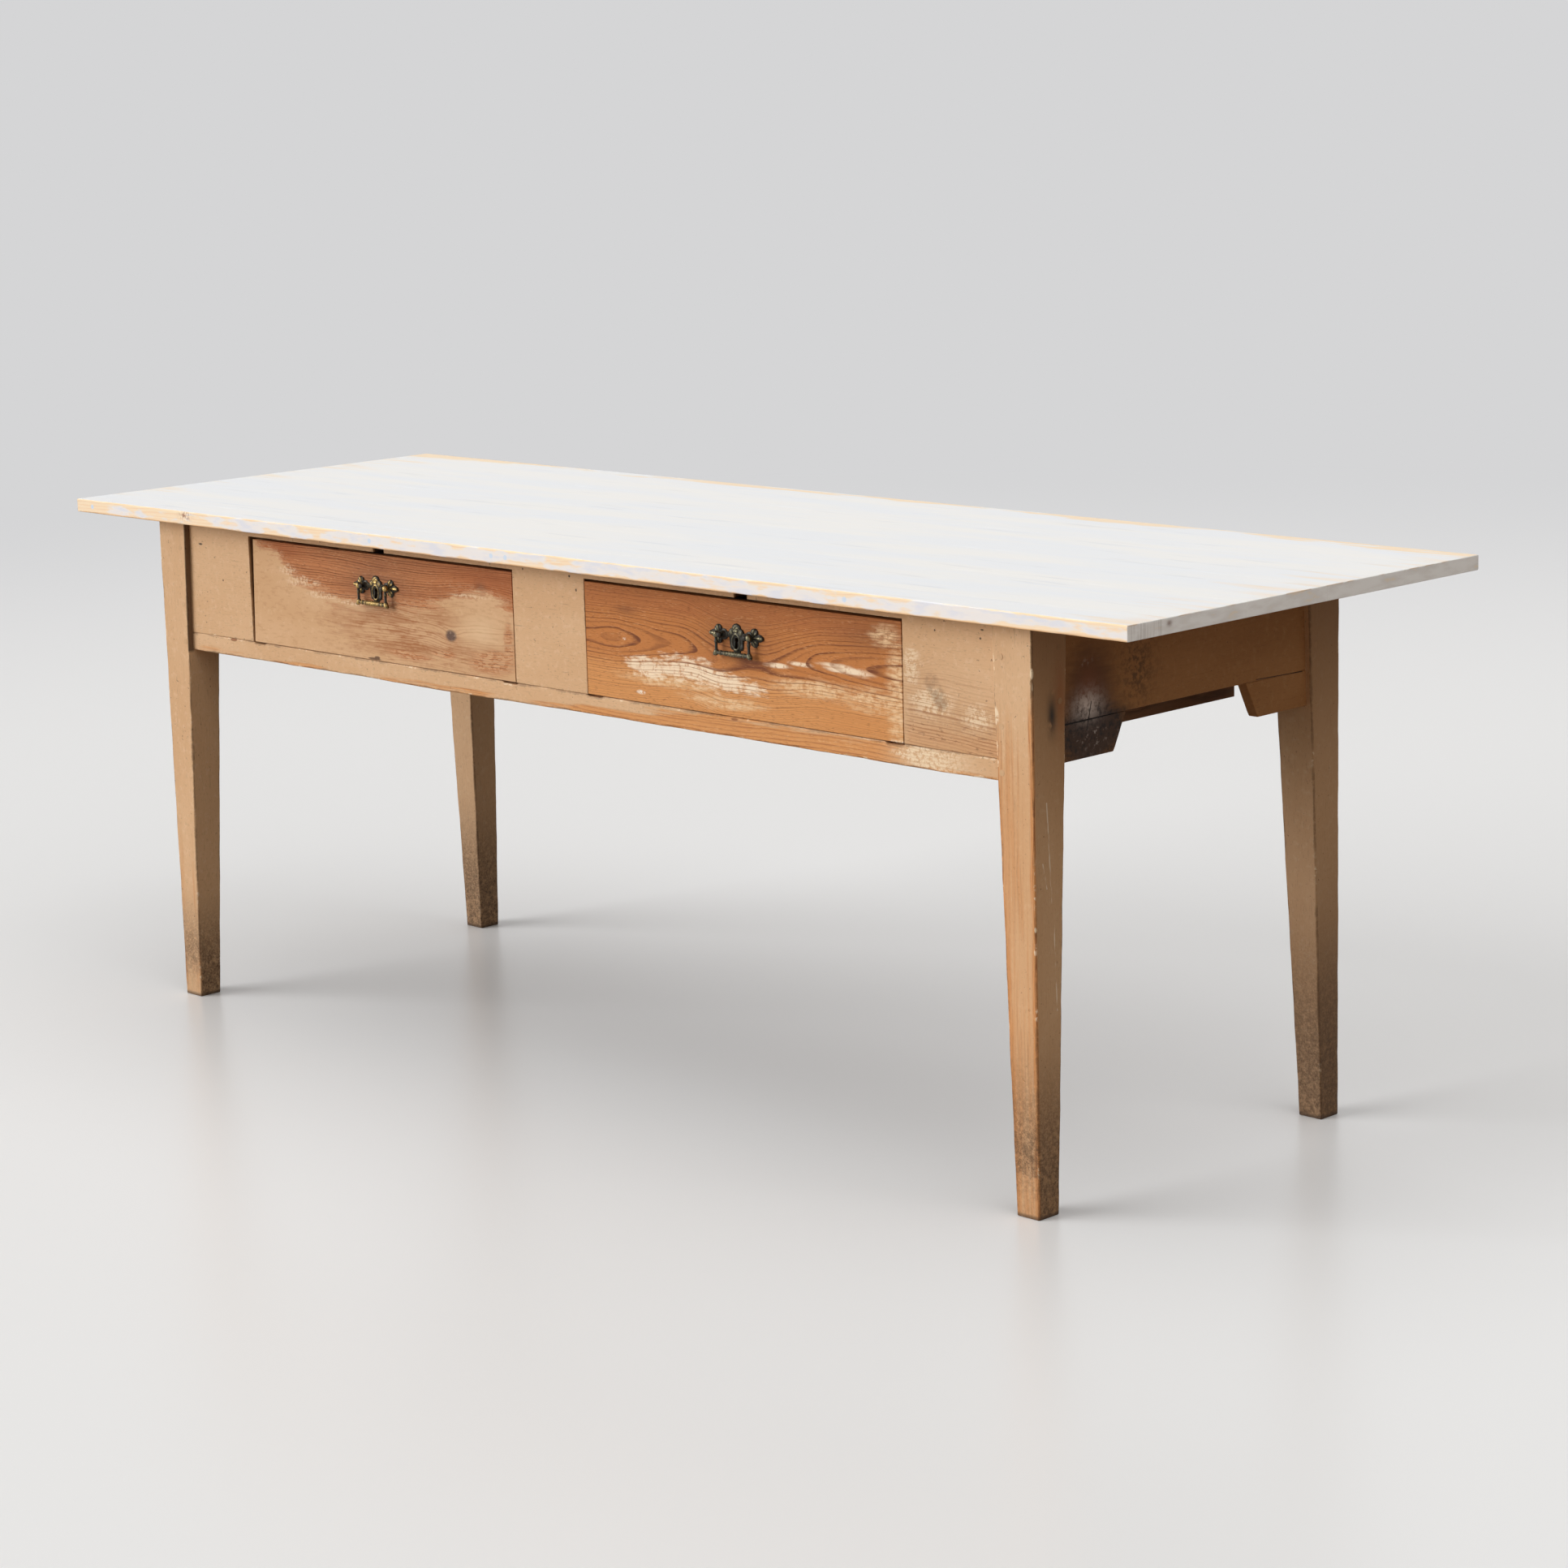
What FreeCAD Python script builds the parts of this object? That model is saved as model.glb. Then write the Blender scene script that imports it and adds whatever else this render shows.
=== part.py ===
import FreeCAD, Part
import Sketcher
import os
import re

# Kitchen table with two lockable drawers, in millimetres.
# +X runs along the table, -Y is the drawer side, +Z is up. The origin is on the floor,
# under the middle of the top.

document = FreeCAD.newDocument("kitchen_table")

# Driving sizes. Each one can be changed by itself.
SIZES = {
    # Legs, and how far the top reaches past them.
    "leg_length": 750.0,
    "leg_width": 66.0,
    "leg_foot_width": 38.0,
    "end_span": 480.0,
    "overhang_left": 170.0,
    "overhang_right": 176.0,
    "overhang_front": 30.0,
    "overhang_back": 62.0,
    # Top: edging strip, boards, battens and their screws.
    "top_thickness": 20.0,
    "edging_width": 63.0,
    "edging_screw_radius": 3.5,
    "edging_screw_bite": 32.0,
    "batten_width": 60.0,
    "batten_thickness": 22.0,
    "screw_radius": 2.0,
    "screw_head_radius": 4.2,
    "screw_head_height": 3.2,
    "screw_bite": 12.0,
    # Aprons, drawer openings, rail and brackets.
    "apron_recess": 9.0,
    "apron_thickness": 22.0,
    "strip_height": 14.0,
    "opening_height": 159.0,
    "rail_height": 29.0,
    "panel_left_width": 146.0,
    "opening_left_width": 599.0,
    "panel_middle_width": 148.0,
    "opening_right_width": 592.0,
    "panel_right_width": 157.0,
    "end_apron_thickness": 16.0,
    "end_apron_height": 133.0,
    "bracket_height": 48.0,
    "bracket_reach": 120.0,
    "bracket_foot": 96.0,
    # Joinery of the frame.
    "tenon_thickness": 8.0,
    "tenon_length": 30.0,
    "tenon_shoulder": 9.0,
    "peg_radius": 4.0,
    "peg_length": 28.0,
    "nail_radius": 1.5,
    "nail_bite": 30.0,
    # What the drawers run on.
    "runner_thickness": 20.0,
    "runner_ledge": 24.0,
    "runner_tongue_length": 10.0,
    "runner_tongue_thickness": 8.0,
    "runner_tongue_shoulder": 12.0,
    "guide_width": 54.0,
    "guide_height": 20.0,
    "stop_thickness": 12.0,
    "stop_height": 20.0,
    "wear_width": 29.0,
    "wear_depth": 2.5,
    # Drawers. The left drawer's front leans away from its opening on one side.
    "front_gap_top": 3.5,
    "front_gap_bottom": 1.0,
    "front_gap_side": 1.5,
    "lean_gap_top": 11.5,
    "lean_gap_bottom": 4.5,
    "side_thickness": 14.0,
    "side_height": 140.0,
    "drawer_back_thickness": 12.0,
    "drawer_back_drop": 10.0,
    "bottom_thickness": 8.0,
    "bottom_lift": 13.0,
    "groove_depth": 6.0,
    "tail_length": 14.0,
    "tail_tip_width": 26.0,
    "tail_root_width": 18.0,
    "drawer_nail_radius": 1.2,
    "drawer_nail_bite": 22.0,
    # Locks.
    "keyhole_drop": 52.0,
    "keyhole_radius": 3.5,
    "keyhole_slot_width": 4.6,
    "keyhole_slot_drop": 11.0,
    "lock_width": 36.0,
    "lock_depth": 13.0,
    "lock_wall": 1.5,
    "lock_plate_thickness": 1.6,
    "lock_below_keyhole": 16.0,
    "lock_flange": 14.0,
    "selvedge_width": 56.0,
    "selvedge_thickness": 2.0,
    "key_pin_radius": 1.4,
    "key_pin_length": 7.0,
    "bolt_offset": 8.0,
    "bolt_width": 14.0,
    "bolt_shoulder": 1.0,
    "bolt_thickness": 5.4,
    "bolt_travel": 9.0,
    "bolt_clearance": 0.3,
    "bolt_above_keyhole": 9.0,
    "talon_width": 7.0,
    "talon_height": 4.0,
    "strike_width": 24.0,
    "strike_height": 8.0,
    "lock_screw_radius": 1.5,
    "lock_screw_length": 11.0,
    # Handles.
    "plate_half_width": 50.0,
    "plate_rise": 22.0,
    "plate_thickness": 2.5,
    "post_spacing": 48.0,
    "post_rise": 6.0,
    "post_radius": 2.5,
    "post_clearance": 0.2,
    "post_reach": 6.5,
    "post_head_radius": 4.0,
    "post_collar_radius": 5.0,
    "post_collar_height": 3.0,
    "post_tail": 1.5,
    "nut_width": 7.0,
    "nut_thickness": 4.0,
    "bail_arm_radius": 1.8,
    "bail_arm_gap": 0.7,
    "bail_drop": 24.0,
    "bail_tip_radius": 1.5,
    "bail_tip_clearance": 0.06,
    "bail_knuckle_radius": 2.0,
    "bail_corner_radius": 3.0,
    "grip_radius": 3.8,
    "grip_neck_radius": 1.9,
    # How far a cut runs past what it cuts.
    "overrun": 5.0,
}

# Places that follow from the driving sizes.
PLACES = {
    "run_of_front": "panel_left_width + opening_left_width + panel_middle_width"
                    " + opening_right_width + panel_right_width",
    "top_length": "overhang_left + leg_width + run_of_front + leg_width + overhang_right",
    "top_depth": "overhang_front + leg_width + end_span + leg_width + overhang_back",
    "left_end": "-top_length / 2",
    "right_end": "top_length / 2",
    "front_edge": "-top_depth / 2",
    "back_edge": "top_depth / 2",
    "top_face": "leg_length + top_thickness",
    "leg_left": "left_end + overhang_left",
    "leg_right": "right_end - overhang_right",
    "leg_front": "front_edge + overhang_front",
    "leg_back": "back_edge - overhang_back",
    "inner_left": "leg_left + leg_width",
    "inner_right": "leg_right - leg_width",
    "inner_front": "leg_front + leg_width",
    "inner_back": "leg_back - leg_width",
    "apron_face": "leg_front + apron_recess",
    "apron_inside": "apron_face + apron_thickness",
    "back_face": "leg_back - apron_recess",
    "back_inside": "back_face - apron_thickness",
    "end_face_left": "leg_left + apron_recess",
    "end_face_right": "leg_right - apron_recess",
    "opening_top": "leg_length - strip_height",
    "apron_bottom": "opening_top - opening_height",
    "rail_bottom": "apron_bottom - rail_height",
    "end_bottom": "leg_length - end_apron_height",
    "bracket_bottom": "end_bottom - bracket_height",
    "left_opening_start": "inner_left + panel_left_width",
    "left_opening_end": "left_opening_start + opening_left_width",
    "right_opening_start": "left_opening_end + panel_middle_width",
    "right_opening_end": "right_opening_start + opening_right_width",
    "left_keyhole": "(left_opening_start + left_opening_end) / 2",
    "right_keyhole": "(right_opening_start + right_opening_end) / 2",
    "runner_bottom": "apron_bottom - runner_thickness",
    "batten_bottom": "leg_length - batten_thickness",
    "drawer_end": "back_inside - stop_thickness",
    "front_low": "apron_bottom + front_gap_bottom",
    "front_high": "opening_top - front_gap_top",
    "side_top": "apron_bottom + side_height",
    "bottom_low": "apron_bottom + bottom_lift",
    "bottom_high": "bottom_low + bottom_thickness",
    "keyhole_height": "front_high - keyhole_drop",
    "post_height": "keyhole_height + post_rise",
    "plate_face": "apron_face - plate_thickness",
    "pivot_depth": "plate_face - post_reach",
    "lock_face": "apron_inside - lock_depth",
    "lock_plate_face": "apron_inside - lock_plate_thickness",
    "lock_bottom": "keyhole_height - lock_below_keyhole",
    "lock_top": "front_high - selvedge_thickness",
    "bolt_depth": "(lock_face + lock_wall + lock_plate_face) / 2",
    "bail_arm": "post_spacing / 2 + post_head_radius + bail_arm_gap + bail_arm_radius",
    "bail_bottom": "post_height - bail_drop",
}

BOARD_COUNT = 4
QUARTER_TURN = 90
HALF_TURN = 180
AXIS_X = FreeCAD.Vector(1, 0, 0)
AXIS_Y = FreeCAD.Vector(0, 1, 0)
AXIS_Z = FreeCAD.Vector(0, 0, 1)


def fill_sheet(name, cells):
    """Adds a spreadsheet with one aliased cell per named value."""
    sheet = document.addObject("Spreadsheet::Sheet", name)
    for row, (alias, content) in enumerate(cells.items(), start=1):
        sheet.set(f"A{row}", alias)
        sheet.set(f"B{row}", str(content))
        sheet.setAlias(f"B{row}", alias)
    return sheet


def with_sheet(match):
    """Puts the sheet's name before a word that is one of its aliases."""
    word = match.group(0)
    if word in SIZES:
        return "sizes." + word
    if word in PLACES:
        return "places." + word
    return word


def bound(text):
    """Turns a formula in plain words into an expression on the two sheets."""
    return re.sub(r"[A-Za-z_]\w*", with_sheet, text)


def place_formula(text):
    """The same for a cell of the places sheet, where its own aliases stand alone."""
    return "=" + bound(text).replace("places.", "")


fill_sheet("sizes", SIZES)
document.recompute()
fill_sheet("places", {name: place_formula(text) for name, text in PLACES.items()})
document.recompute()

nodes = []


def node(item):
    """Marks an object as one of the table's pieces."""
    nodes.append(item)
    return item


def bind(item, **formulas):
    """Binds properties of an object to formulas."""
    for name, text in formulas.items():
        item.setExpression(name, bound(text))


def put(item, x, y, z, turn=None):
    """Places an object at bound coordinates, turned by a fixed rotation."""
    if turn is not None:
        item.Placement = FreeCAD.Placement(FreeCAD.Vector(), turn)
    for axis, text in zip("xyz", (x, y, z)):
        item.setExpression(f"Placement.Base.{axis}", bound(text))
    return item


def box(name, x, y, z):
    """A block that fills three spans, each given as (start, end)."""
    item = document.addObject("Part::Box", name)
    bind(item, Length=f"({x[1]}) - ({x[0]})", Width=f"({y[1]}) - ({y[0]})", Height=f"({z[1]}) - ({z[0]})")
    return put(item, x[0], y[0], z[0])


TURNS = {
    "x": FreeCAD.Rotation(AXIS_Y, QUARTER_TURN),
    "y": FreeCAD.Rotation(AXIS_X, -QUARTER_TURN),
    "z": FreeCAD.Rotation(),
}


def along(axis, start, across):
    """The coordinates of a point at start on an axis, with the two others in order."""
    spot = list(across)
    spot.insert("xyz".index(axis), start)
    return spot


def cylinder(name, axis, span, across, radius):
    """A round bar along an axis, from span[0] to span[1]."""
    item = document.addObject("Part::Cylinder", name)
    bind(item, Radius=radius, Height=f"({span[1]}) - ({span[0]})")
    return put(item, *along(axis, span[0], across), TURNS[axis])


def cone(name, axis, span, across, start_radius, end_radius):
    """A tapered round bar along an axis."""
    item = document.addObject("Part::Cone", name)
    bind(item, Radius1=start_radius, Radius2=end_radius, Height=f"({span[1]}) - ({span[0]})")
    return put(item, *along(axis, span[0], across), TURNS[axis])


def ball(name, x, y, z, radius):
    """A full sphere."""
    item = document.addObject("Part::Sphere", name)
    bind(item, Radius=radius)
    return put(item, x, y, z)


def tapered(name, x, y, z, far_x, far_z, turn=None):
    """A block whose x and z spans change evenly from y[0] to y[1]."""
    item = document.addObject("Part::Wedge", name)
    bind(item, Xmin=x[0], Xmax=x[1], Ymin=y[0], Ymax=y[1], Zmin=z[0], Zmax=z[1])
    bind(item, X2min=far_x[0], X2max=far_x[1], Z2min=far_z[0], Z2max=far_z[1])
    if turn is not None:
        item.Placement = FreeCAD.Placement(FreeCAD.Vector(), turn)
    return item


def upright(name, foot_x, foot_y, head_x, head_y, z):
    """A block whose x and y spans change evenly with height."""
    foot = (f"-({foot_y[1]})", f"-({foot_y[0]})")
    head = (f"-({head_y[1]})", f"-({head_y[0]})")
    return tapered(name, foot_x, z, foot, head_x, head, FreeCAD.Rotation(AXIS_X, QUARTER_TURN))


def fuse(name, items):
    """Joins solids that touch or overlap into one."""
    item = document.addObject("Part::MultiFuse", name)
    item.Shapes = items
    item.Refine = True
    return item


def group(name, items):
    """Keeps several loose solids together."""
    item = document.addObject("Part::Compound", name)
    item.Links = items
    return item


def cut(name, base, tools):
    """Takes the tools away from the base."""
    item = document.addObject("Part::Cut", name)
    item.Base = base
    item.Tool = tools[0] if len(tools) == 1 else fuse(name + "_tools", tools)
    item.Refine = True
    return item


def outline(body, plane, points, name):
    """A closed sketch of straight lines through bound points on one of the body's own planes."""
    sketch = body.newObject("Sketcher::SketchObject", name)
    plane_of_body = [item for item in body.Origin.OriginFeatures if item.Role == plane][0]
    sketch.AttachmentSupport = [(plane_of_body, "")]
    sketch.MapMode = "FlatFace"
    count = len(points)
    start = [FreeCAD.Vector(SIZES["leg_width"], 0, 0)]
    spin = FreeCAD.Rotation(AXIS_Z, 2 * HALF_TURN / count)
    for _ in range(count - 1):
        start.append(spin.multVec(start[-1]))
    for index in range(count):
        sketch.addGeometry(Part.LineSegment(start[index], start[(index + 1) % count]), False)
    for index in range(count):
        sketch.addConstraint(Sketcher.Constraint("Coincident", index, 2, (index + 1) % count, 1))
    for index, (across, up) in enumerate(points):
        for kind, text in (("DistanceX", across), ("DistanceY", up)):
            datum = start[index].x if kind == "DistanceX" else start[index].y
            row = sketch.addConstraint(Sketcher.Constraint(kind, -1, 1, index, 1, datum))
            sketch.setExpression(f"Constraints[{row}]", bound(text))
    return sketch


def pad(name, plane, points, thickness):
    """A PartDesign body: an outline of straight lines, padded to a thickness."""
    body = document.addObject("PartDesign::Body", name)
    sketch = outline(body, plane, points, name + "_outline")
    feature = body.newObject("PartDesign::Pad", name + "_pad")
    feature.Profile = sketch
    bind(feature, Length=thickness)
    return body


def turned(name, points):
    """A PartDesign body: an outline turned round its own X axis."""
    body = document.addObject("PartDesign::Body", name)
    sketch = outline(body, "XY_Plane", points, name + "_outline")
    feature = body.newObject("PartDesign::Revolution", name + "_turning")
    feature.Profile = sketch
    feature.ReferenceAxis = (sketch, ["H_Axis"])
    feature.Angle = 2 * HALF_TURN
    return body


def about(middle, width):
    """The span of a width centred on a place."""
    return (f"{middle} - ({width}) / 2", f"{middle} + ({width}) / 2")


def inward(edge, size, side):
    """The span of a size laid off from an outer edge towards the table's middle."""
    if side in ("left", "front"):
        return (edge, f"{edge} + {size}")
    return (f"{edge} - {size}", edge)


def outward(edge, size, side):
    """The span of a size laid off from an edge away from the table's middle."""
    if side in ("left", "front"):
        return (f"{edge} - {size}", edge)
    return (edge, f"{edge} + {size}")


# Legs: the outer faces stand upright, the two inner faces taper from the top to the floor.
SIDES = ("left", "right")
DEPTHS = ("front", "back")
CORNERS = [(depth, side) for depth in DEPTHS for side in SIDES]
leg_blanks = {}
mortises = {corner: [] for corner in CORNERS}
for depth, side in CORNERS:
    leg_blanks[depth, side] = upright(
        f"leg_{depth}_{side}_blank",
        inward(f"leg_{side}", "leg_foot_width", side),
        inward(f"leg_{depth}", "leg_foot_width", depth),
        inward(f"leg_{side}", "leg_width", side),
        inward(f"leg_{depth}", "leg_width", depth),
        ("0", "leg_length"),
    )


def framed_board(name, run, corners, face, z, tools=()):
    """A board between two legs, scribed to their tapered faces, with a tenon into each leg."""
    ends = SIDES if run == "x" else DEPTHS
    starts = [f"inner_{end}" for end in ends]
    length = (f"{starts[0]} - leg_width / 2", f"{starts[1]} + leg_width / 2")
    middle = f"({face[0]} + {face[1]}) / 2"
    thin = about(middle, "tenon_thickness")
    inside = (f"{z[0]} + tenon_shoulder", f"{z[1]} - tenon_shoulder")
    plank = box(name + "_plank", *((length, face) if run == "x" else (face, length)), z)
    scribed = cut(name + "_scribed", plank, [leg_blanks[corner] for corner in corners] + list(tools))
    tenons = []
    for corner, start, end in zip(corners, starts, ends):
        reach = outward(start, "tenon_length", end)
        spans = (reach, thin) if run == "x" else (thin, reach)
        tenon = box(f"{name}_tenon_{end}", *spans, inside)
        mortises[corner].append(tenon)
        tenons.append(tenon)
    return fuse(name, [scribed] + tenons)


# Runners carry the drawers. Each has a tongue in the front rail and is nailed under the back apron.
RUNNERS = {
    "left": ("left_opening_start - guide_width", "left_opening_start + runner_ledge"),
    "middle": ("left_opening_end - runner_ledge", "right_opening_start + runner_ledge"),
    "right": ("right_opening_end - runner_ledge", "right_opening_end + guide_width"),
}
GUIDES = {
    "left": ("left_opening_start - guide_width", "left_opening_start"),
    "middle": ("left_opening_end", "right_opening_start"),
    "right": ("right_opening_end", "right_opening_end + guide_width"),
}
tongues = []
nails = []
NAIL_SHARES = (0.3, 0.7)
for name, span in RUNNERS.items():
    depth = ("apron_inside", "back_face")
    plank = box(f"runner_{name}_plank", span, depth, ("runner_bottom", "apron_bottom"))
    tongue = box(
        f"runner_{name}_tongue",
        (f"{span[0]} + runner_tongue_shoulder", f"{span[1]} - runner_tongue_shoulder"),
        ("apron_inside - runner_tongue_length", "apron_inside"),
        about("(runner_bottom + apron_bottom) / 2", "runner_tongue_thickness"),
    )
    tongues.append(tongue)
    node(fuse(f"runner_{name}", [plank, tongue]))
    for index, share in enumerate(NAIL_SHARES):
        across = f"{span[0]} + (({span[1]}) - ({span[0]})) * {share}"
        spot = (across, "(back_inside + back_face) / 2")
        reach = ("runner_bottom", "apron_bottom + nail_bite")
        nails.append(cylinder(f"runner_{name}_nail_{index}", "z", reach, spot, "nail_radius"))
for name, span in GUIDES.items():
    high = ("apron_bottom", "apron_bottom + guide_height")
    node(box(f"guide_{name}", span, ("apron_inside", "back_inside"), high))
    for index, share in enumerate(NAIL_SHARES):
        across = f"(({span[0]}) + ({span[1]})) / 2"
        depth = f"apron_inside + (back_inside - apron_inside) * {share}"
        reach = ("apron_bottom - runner_thickness / 2", "apron_bottom + guide_height")
        nails.append(cylinder(f"guide_{name}_nail_{index}", "z", reach, (across, depth), "nail_radius"))

# Front: one board with the two drawer openings sawn out of it, over a lower rail.
front_span = ("apron_face", "apron_inside")
through_front = ("apron_face - overrun", "apron_inside + overrun")
openings = []
worn = []
for side in SIDES:
    start = f"{side}_opening_start"
    end = f"{side}_opening_end"
    gap = ("apron_bottom - overrun", "opening_top")
    openings.append(box(f"{side}_opening", (start, end), through_front, gap))
    slot = ("opening_top - overrun", "opening_top + strike_height")
    strike = about(f"({side}_keyhole + bolt_offset)", "strike_width")
    openings.append(box(f"{side}_strike", strike, through_front, slot))
    low = ("apron_bottom - wear_depth", "apron_bottom + overrun")
    worn.append(box(f"{side}_wear_start", (start, f"{start} + wear_width"), through_front, low))
    worn.append(box(f"{side}_wear_end", (f"{end} - wear_width", end), through_front, low))
front_corners = [("front", side) for side in SIDES]
back_corners = [("back", side) for side in SIDES]
apron_height = ("apron_bottom", "leg_length")
node(framed_board("front_apron", "x", front_corners, front_span, apron_height, openings))
rail_height = ("rail_bottom", "apron_bottom")
node(framed_board("front_rail", "x", front_corners, front_span, rail_height, worn + tongues))
node(framed_board("back_apron", "x", back_corners, ("back_inside", "back_face"), apron_height))

# Ends: an upper board, with a sloped bracket under it beside each leg.
end_height = ("end_bottom", "leg_length")
for side in SIDES:
    face = inward(f"end_face_{side}", "end_apron_thickness", side)
    node(framed_board(f"end_apron_{side}", "y", [(depth, side) for depth in DEPTHS], face, end_height))
    for depth in DEPTHS:
        name = f"bracket_{side}_{depth}"
        profile = [
            ("0", "0"),
            ("leg_width / 2 + bracket_foot", "0"),
            ("leg_width / 2 + bracket_reach", "bracket_height"),
            ("0", "bracket_height"),
        ]
        blank = pad(name + "_blank", "YZ_Plane", profile, "end_apron_thickness")
        turn = FreeCAD.Rotation(AXIS_Z, 0 if depth == "front" else HALF_TURN)
        near = face[0] if depth == "front" else face[1]
        middle = f"({inward(f'leg_{depth}', 'leg_width', depth)[0]}) + leg_width / 2"
        put(blank, near, middle, "bracket_bottom", turn)
        node(cut(name, blank, [leg_blanks[depth, side]]))
        reach = ("bracket_bottom", "end_bottom + nail_bite")
        length = outward(f"inner_{depth}", "bracket_foot", "right" if depth == "front" else "left")
        across = (f"({face[0]} + {face[1]}) / 2", f"({length[0]} + {length[1]}) / 2")
        nails.append(cylinder(name + "_nail", "z", reach, across, "nail_radius"))
node(group("frame_nails", nails))

for corner in CORNERS:
    node(cut("leg_{}_{}".format(*corner), leg_blanks[corner], mortises[corner]))

# Draw pegs through the legs and tenons.
PEG_SHARES = (0.25, 0.75)
RAIL_PEG_SHARES = (0.5,)
pegs = []
for depth, side in CORNERS:
    across = f"({' + '.join(outward(f'inner_{side}', 'tenon_length', side))}) / 2"
    levels = [(apron_height, share) for share in PEG_SHARES]
    if depth == "front":
        levels += [(rail_height, share) for share in RAIL_PEG_SHARES]
    for index, (z, share) in enumerate(levels):
        level = f"{z[0]} + ({z[1]} - {z[0]}) * {share}"
        reach = inward(f"leg_{depth}", "peg_length", depth)
        pegs.append(cylinder(f"peg_{depth}_{side}_{index}", "y", reach, (across, level), "peg_radius"))
    across = f"({' + '.join(outward(f'inner_{depth}', 'tenon_length', depth))}) / 2"
    for index, share in enumerate(PEG_SHARES):
        level = f"{end_height[0]} + ({end_height[1]} - {end_height[0]}) * {share}"
        reach = inward(f"leg_{side}", "peg_length", side)
        pegs.append(cylinder(f"end_peg_{depth}_{side}_{index}", "x", reach, (across, level), "peg_radius"))
node(group("tenon_pegs", pegs))

# Top: a front edging strip and four boards, held by battens that are screwed up from below.
top_height = ("leg_length", "top_face")
whole_length = ("left_end", "right_end")
node(box("top_edging", whole_length, ("front_edge", "front_edge + edging_width"), top_height))
for index in range(BOARD_COUNT):
    start, end = [
        f"front_edge + edging_width + (top_depth - edging_width) * {step} / {BOARD_COUNT}"
        for step in (index, index + 1)
    ]
    node(box(f"top_board_{index + 1}", whole_length, (start, end), top_height))

EDGING_SCREW_SHARES = (0.019, 0.339, 0.464, 0.478, 0.783)
edging_screws = []
for index, share in enumerate(EDGING_SCREW_SHARES):
    spot = (f"left_end + top_length * {share}", "leg_length + top_thickness / 2")
    reach = ("front_edge", "front_edge + edging_width + edging_screw_bite")
    edging_screws.append(cylinder(f"edging_screw_{index}", "y", reach, spot, "edging_screw_radius"))
node(group("edging_screws", edging_screws))

BATTENS = {
    "left": "(left_opening_start - panel_left_width / 2)",
    "middle": "(left_opening_end + panel_middle_width / 2)",
    "right": "(right_opening_end + panel_right_width / 2)",
}
BATTEN_SCREW_SHARES = (0.15, 0.43, 0.72, 0.94)
batten_screws = []
for name, middle in BATTENS.items():
    depth = ("apron_inside", "back_inside")
    node(box(f"top_batten_{name}", about(middle, "batten_width"), depth, ("batten_bottom", "leg_length")))
    for index, share in enumerate(BATTEN_SCREW_SHARES):
        label = f"batten_{name}_screw_{index}"
        spot = (middle, f"apron_inside + (back_inside - apron_inside) * {share}")
        reach = ("batten_bottom", "leg_length + screw_bite")
        shank = cylinder(label + "_shank", "z", reach, spot, "screw_radius")
        flare = ("batten_bottom", "batten_bottom + screw_head_height")
        head = cone(label + "_head", "z", flare, spot, "screw_head_radius", "screw_radius")
        batten_screws.append(fuse(label, [shank, head]))
node(group("batten_screws", batten_screws))

stops = []
for side in SIDES:
    depth = ("drawer_end", "back_inside")
    high = ("apron_bottom", "apron_bottom + stop_height")
    start = f"{side}_opening_start"
    end = f"{side}_opening_end"
    stops.append(box(f"{side}_stop_start", (start, f"{start} + runner_ledge"), depth, high))
    stops.append(box(f"{side}_stop_end", (f"{end} - runner_ledge", end), depth, high))
node(group("drawer_stops", stops))

# Drawers: dovetailed fronts, grooved sides, a bottom that slides in under the back.
TAIL_SHARES = (1 / 6, 1 / 2, 5 / 6)
BOTTOM_NAIL_SHARES = (0.1, 0.3, 0.5, 0.7, 0.9)
BACK_NAIL_SHARES = (0.25, 0.55, 0.85)
LEAN_GAPS = {"left": ("lean_gap_bottom", "lean_gap_top"), "right": ("front_gap_side", "front_gap_side")}

# Handle plate: round lobes given as shares of its half width and its rise (across, up, radius).
LOBE_SHARES = (
    (0.00, 0.00, 0.62),
    (0.00, 0.72, 0.28),
    (0.15, 0.50, 0.24),
    (0.00, -0.62, 0.27),
    (0.16, -0.36, 0.24),
    (0.48, 0.27, 0.36),
    (0.76, 0.52, 0.20),
    (0.76, 0.02, 0.20),
    (0.90, 0.27, 0.22),
)
ARM_SHARES = (0.86, 0.10, 0.44)

# Bail grip: steps along its length and of its swell from neck to full radius.
GRIP_SHARES = (
    (0.00, 0.0), (0.13, 0.0), (0.17, 0.6), (0.21, 0.0), (0.30, 0.1), (0.42, 0.7),
    (0.46, 0.4), (0.48, 1.0), (0.52, 1.0), (0.54, 0.4), (0.58, 0.7), (0.70, 0.1),
    (0.79, 0.0), (0.83, 0.6), (0.87, 0.0), (1.00, 0.0),
)
LOCK_SCREW_SHARE = 0.3


def keyhole_tools(name, side):
    """A round hole with a slot under it, right through the front."""
    centre = f"{side}_keyhole"
    spot = (centre, "keyhole_height")
    reach = ("plate_face - overrun", "apron_inside + overrun")
    hole = cylinder(name + "_round", "y", reach, spot, "keyhole_radius")
    low = ("keyhole_height - keyhole_slot_drop", "keyhole_height")
    return [hole, box(name + "_slot", about(centre, "keyhole_slot_width"), reach, low)]


def post_places(side):
    """The two handle posts, as (name, place along the table, which way is outward)."""
    centre = f"{side}_keyhole"
    return [
        ("a", f"({centre} - post_spacing / 2)", "left"),
        ("b", f"({centre} + post_spacing / 2)", "right"),
    ]


def post_tools(name, side):
    """Clearance holes for the handle posts."""
    reach = ("plate_face - overrun", "apron_inside + overrun")
    radius = "post_radius + post_clearance"
    return [
        cylinder(f"{name}_{mark}", "y", reach, (place, "post_height"), radius)
        for mark, place, _ in post_places(side)
    ]


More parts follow.
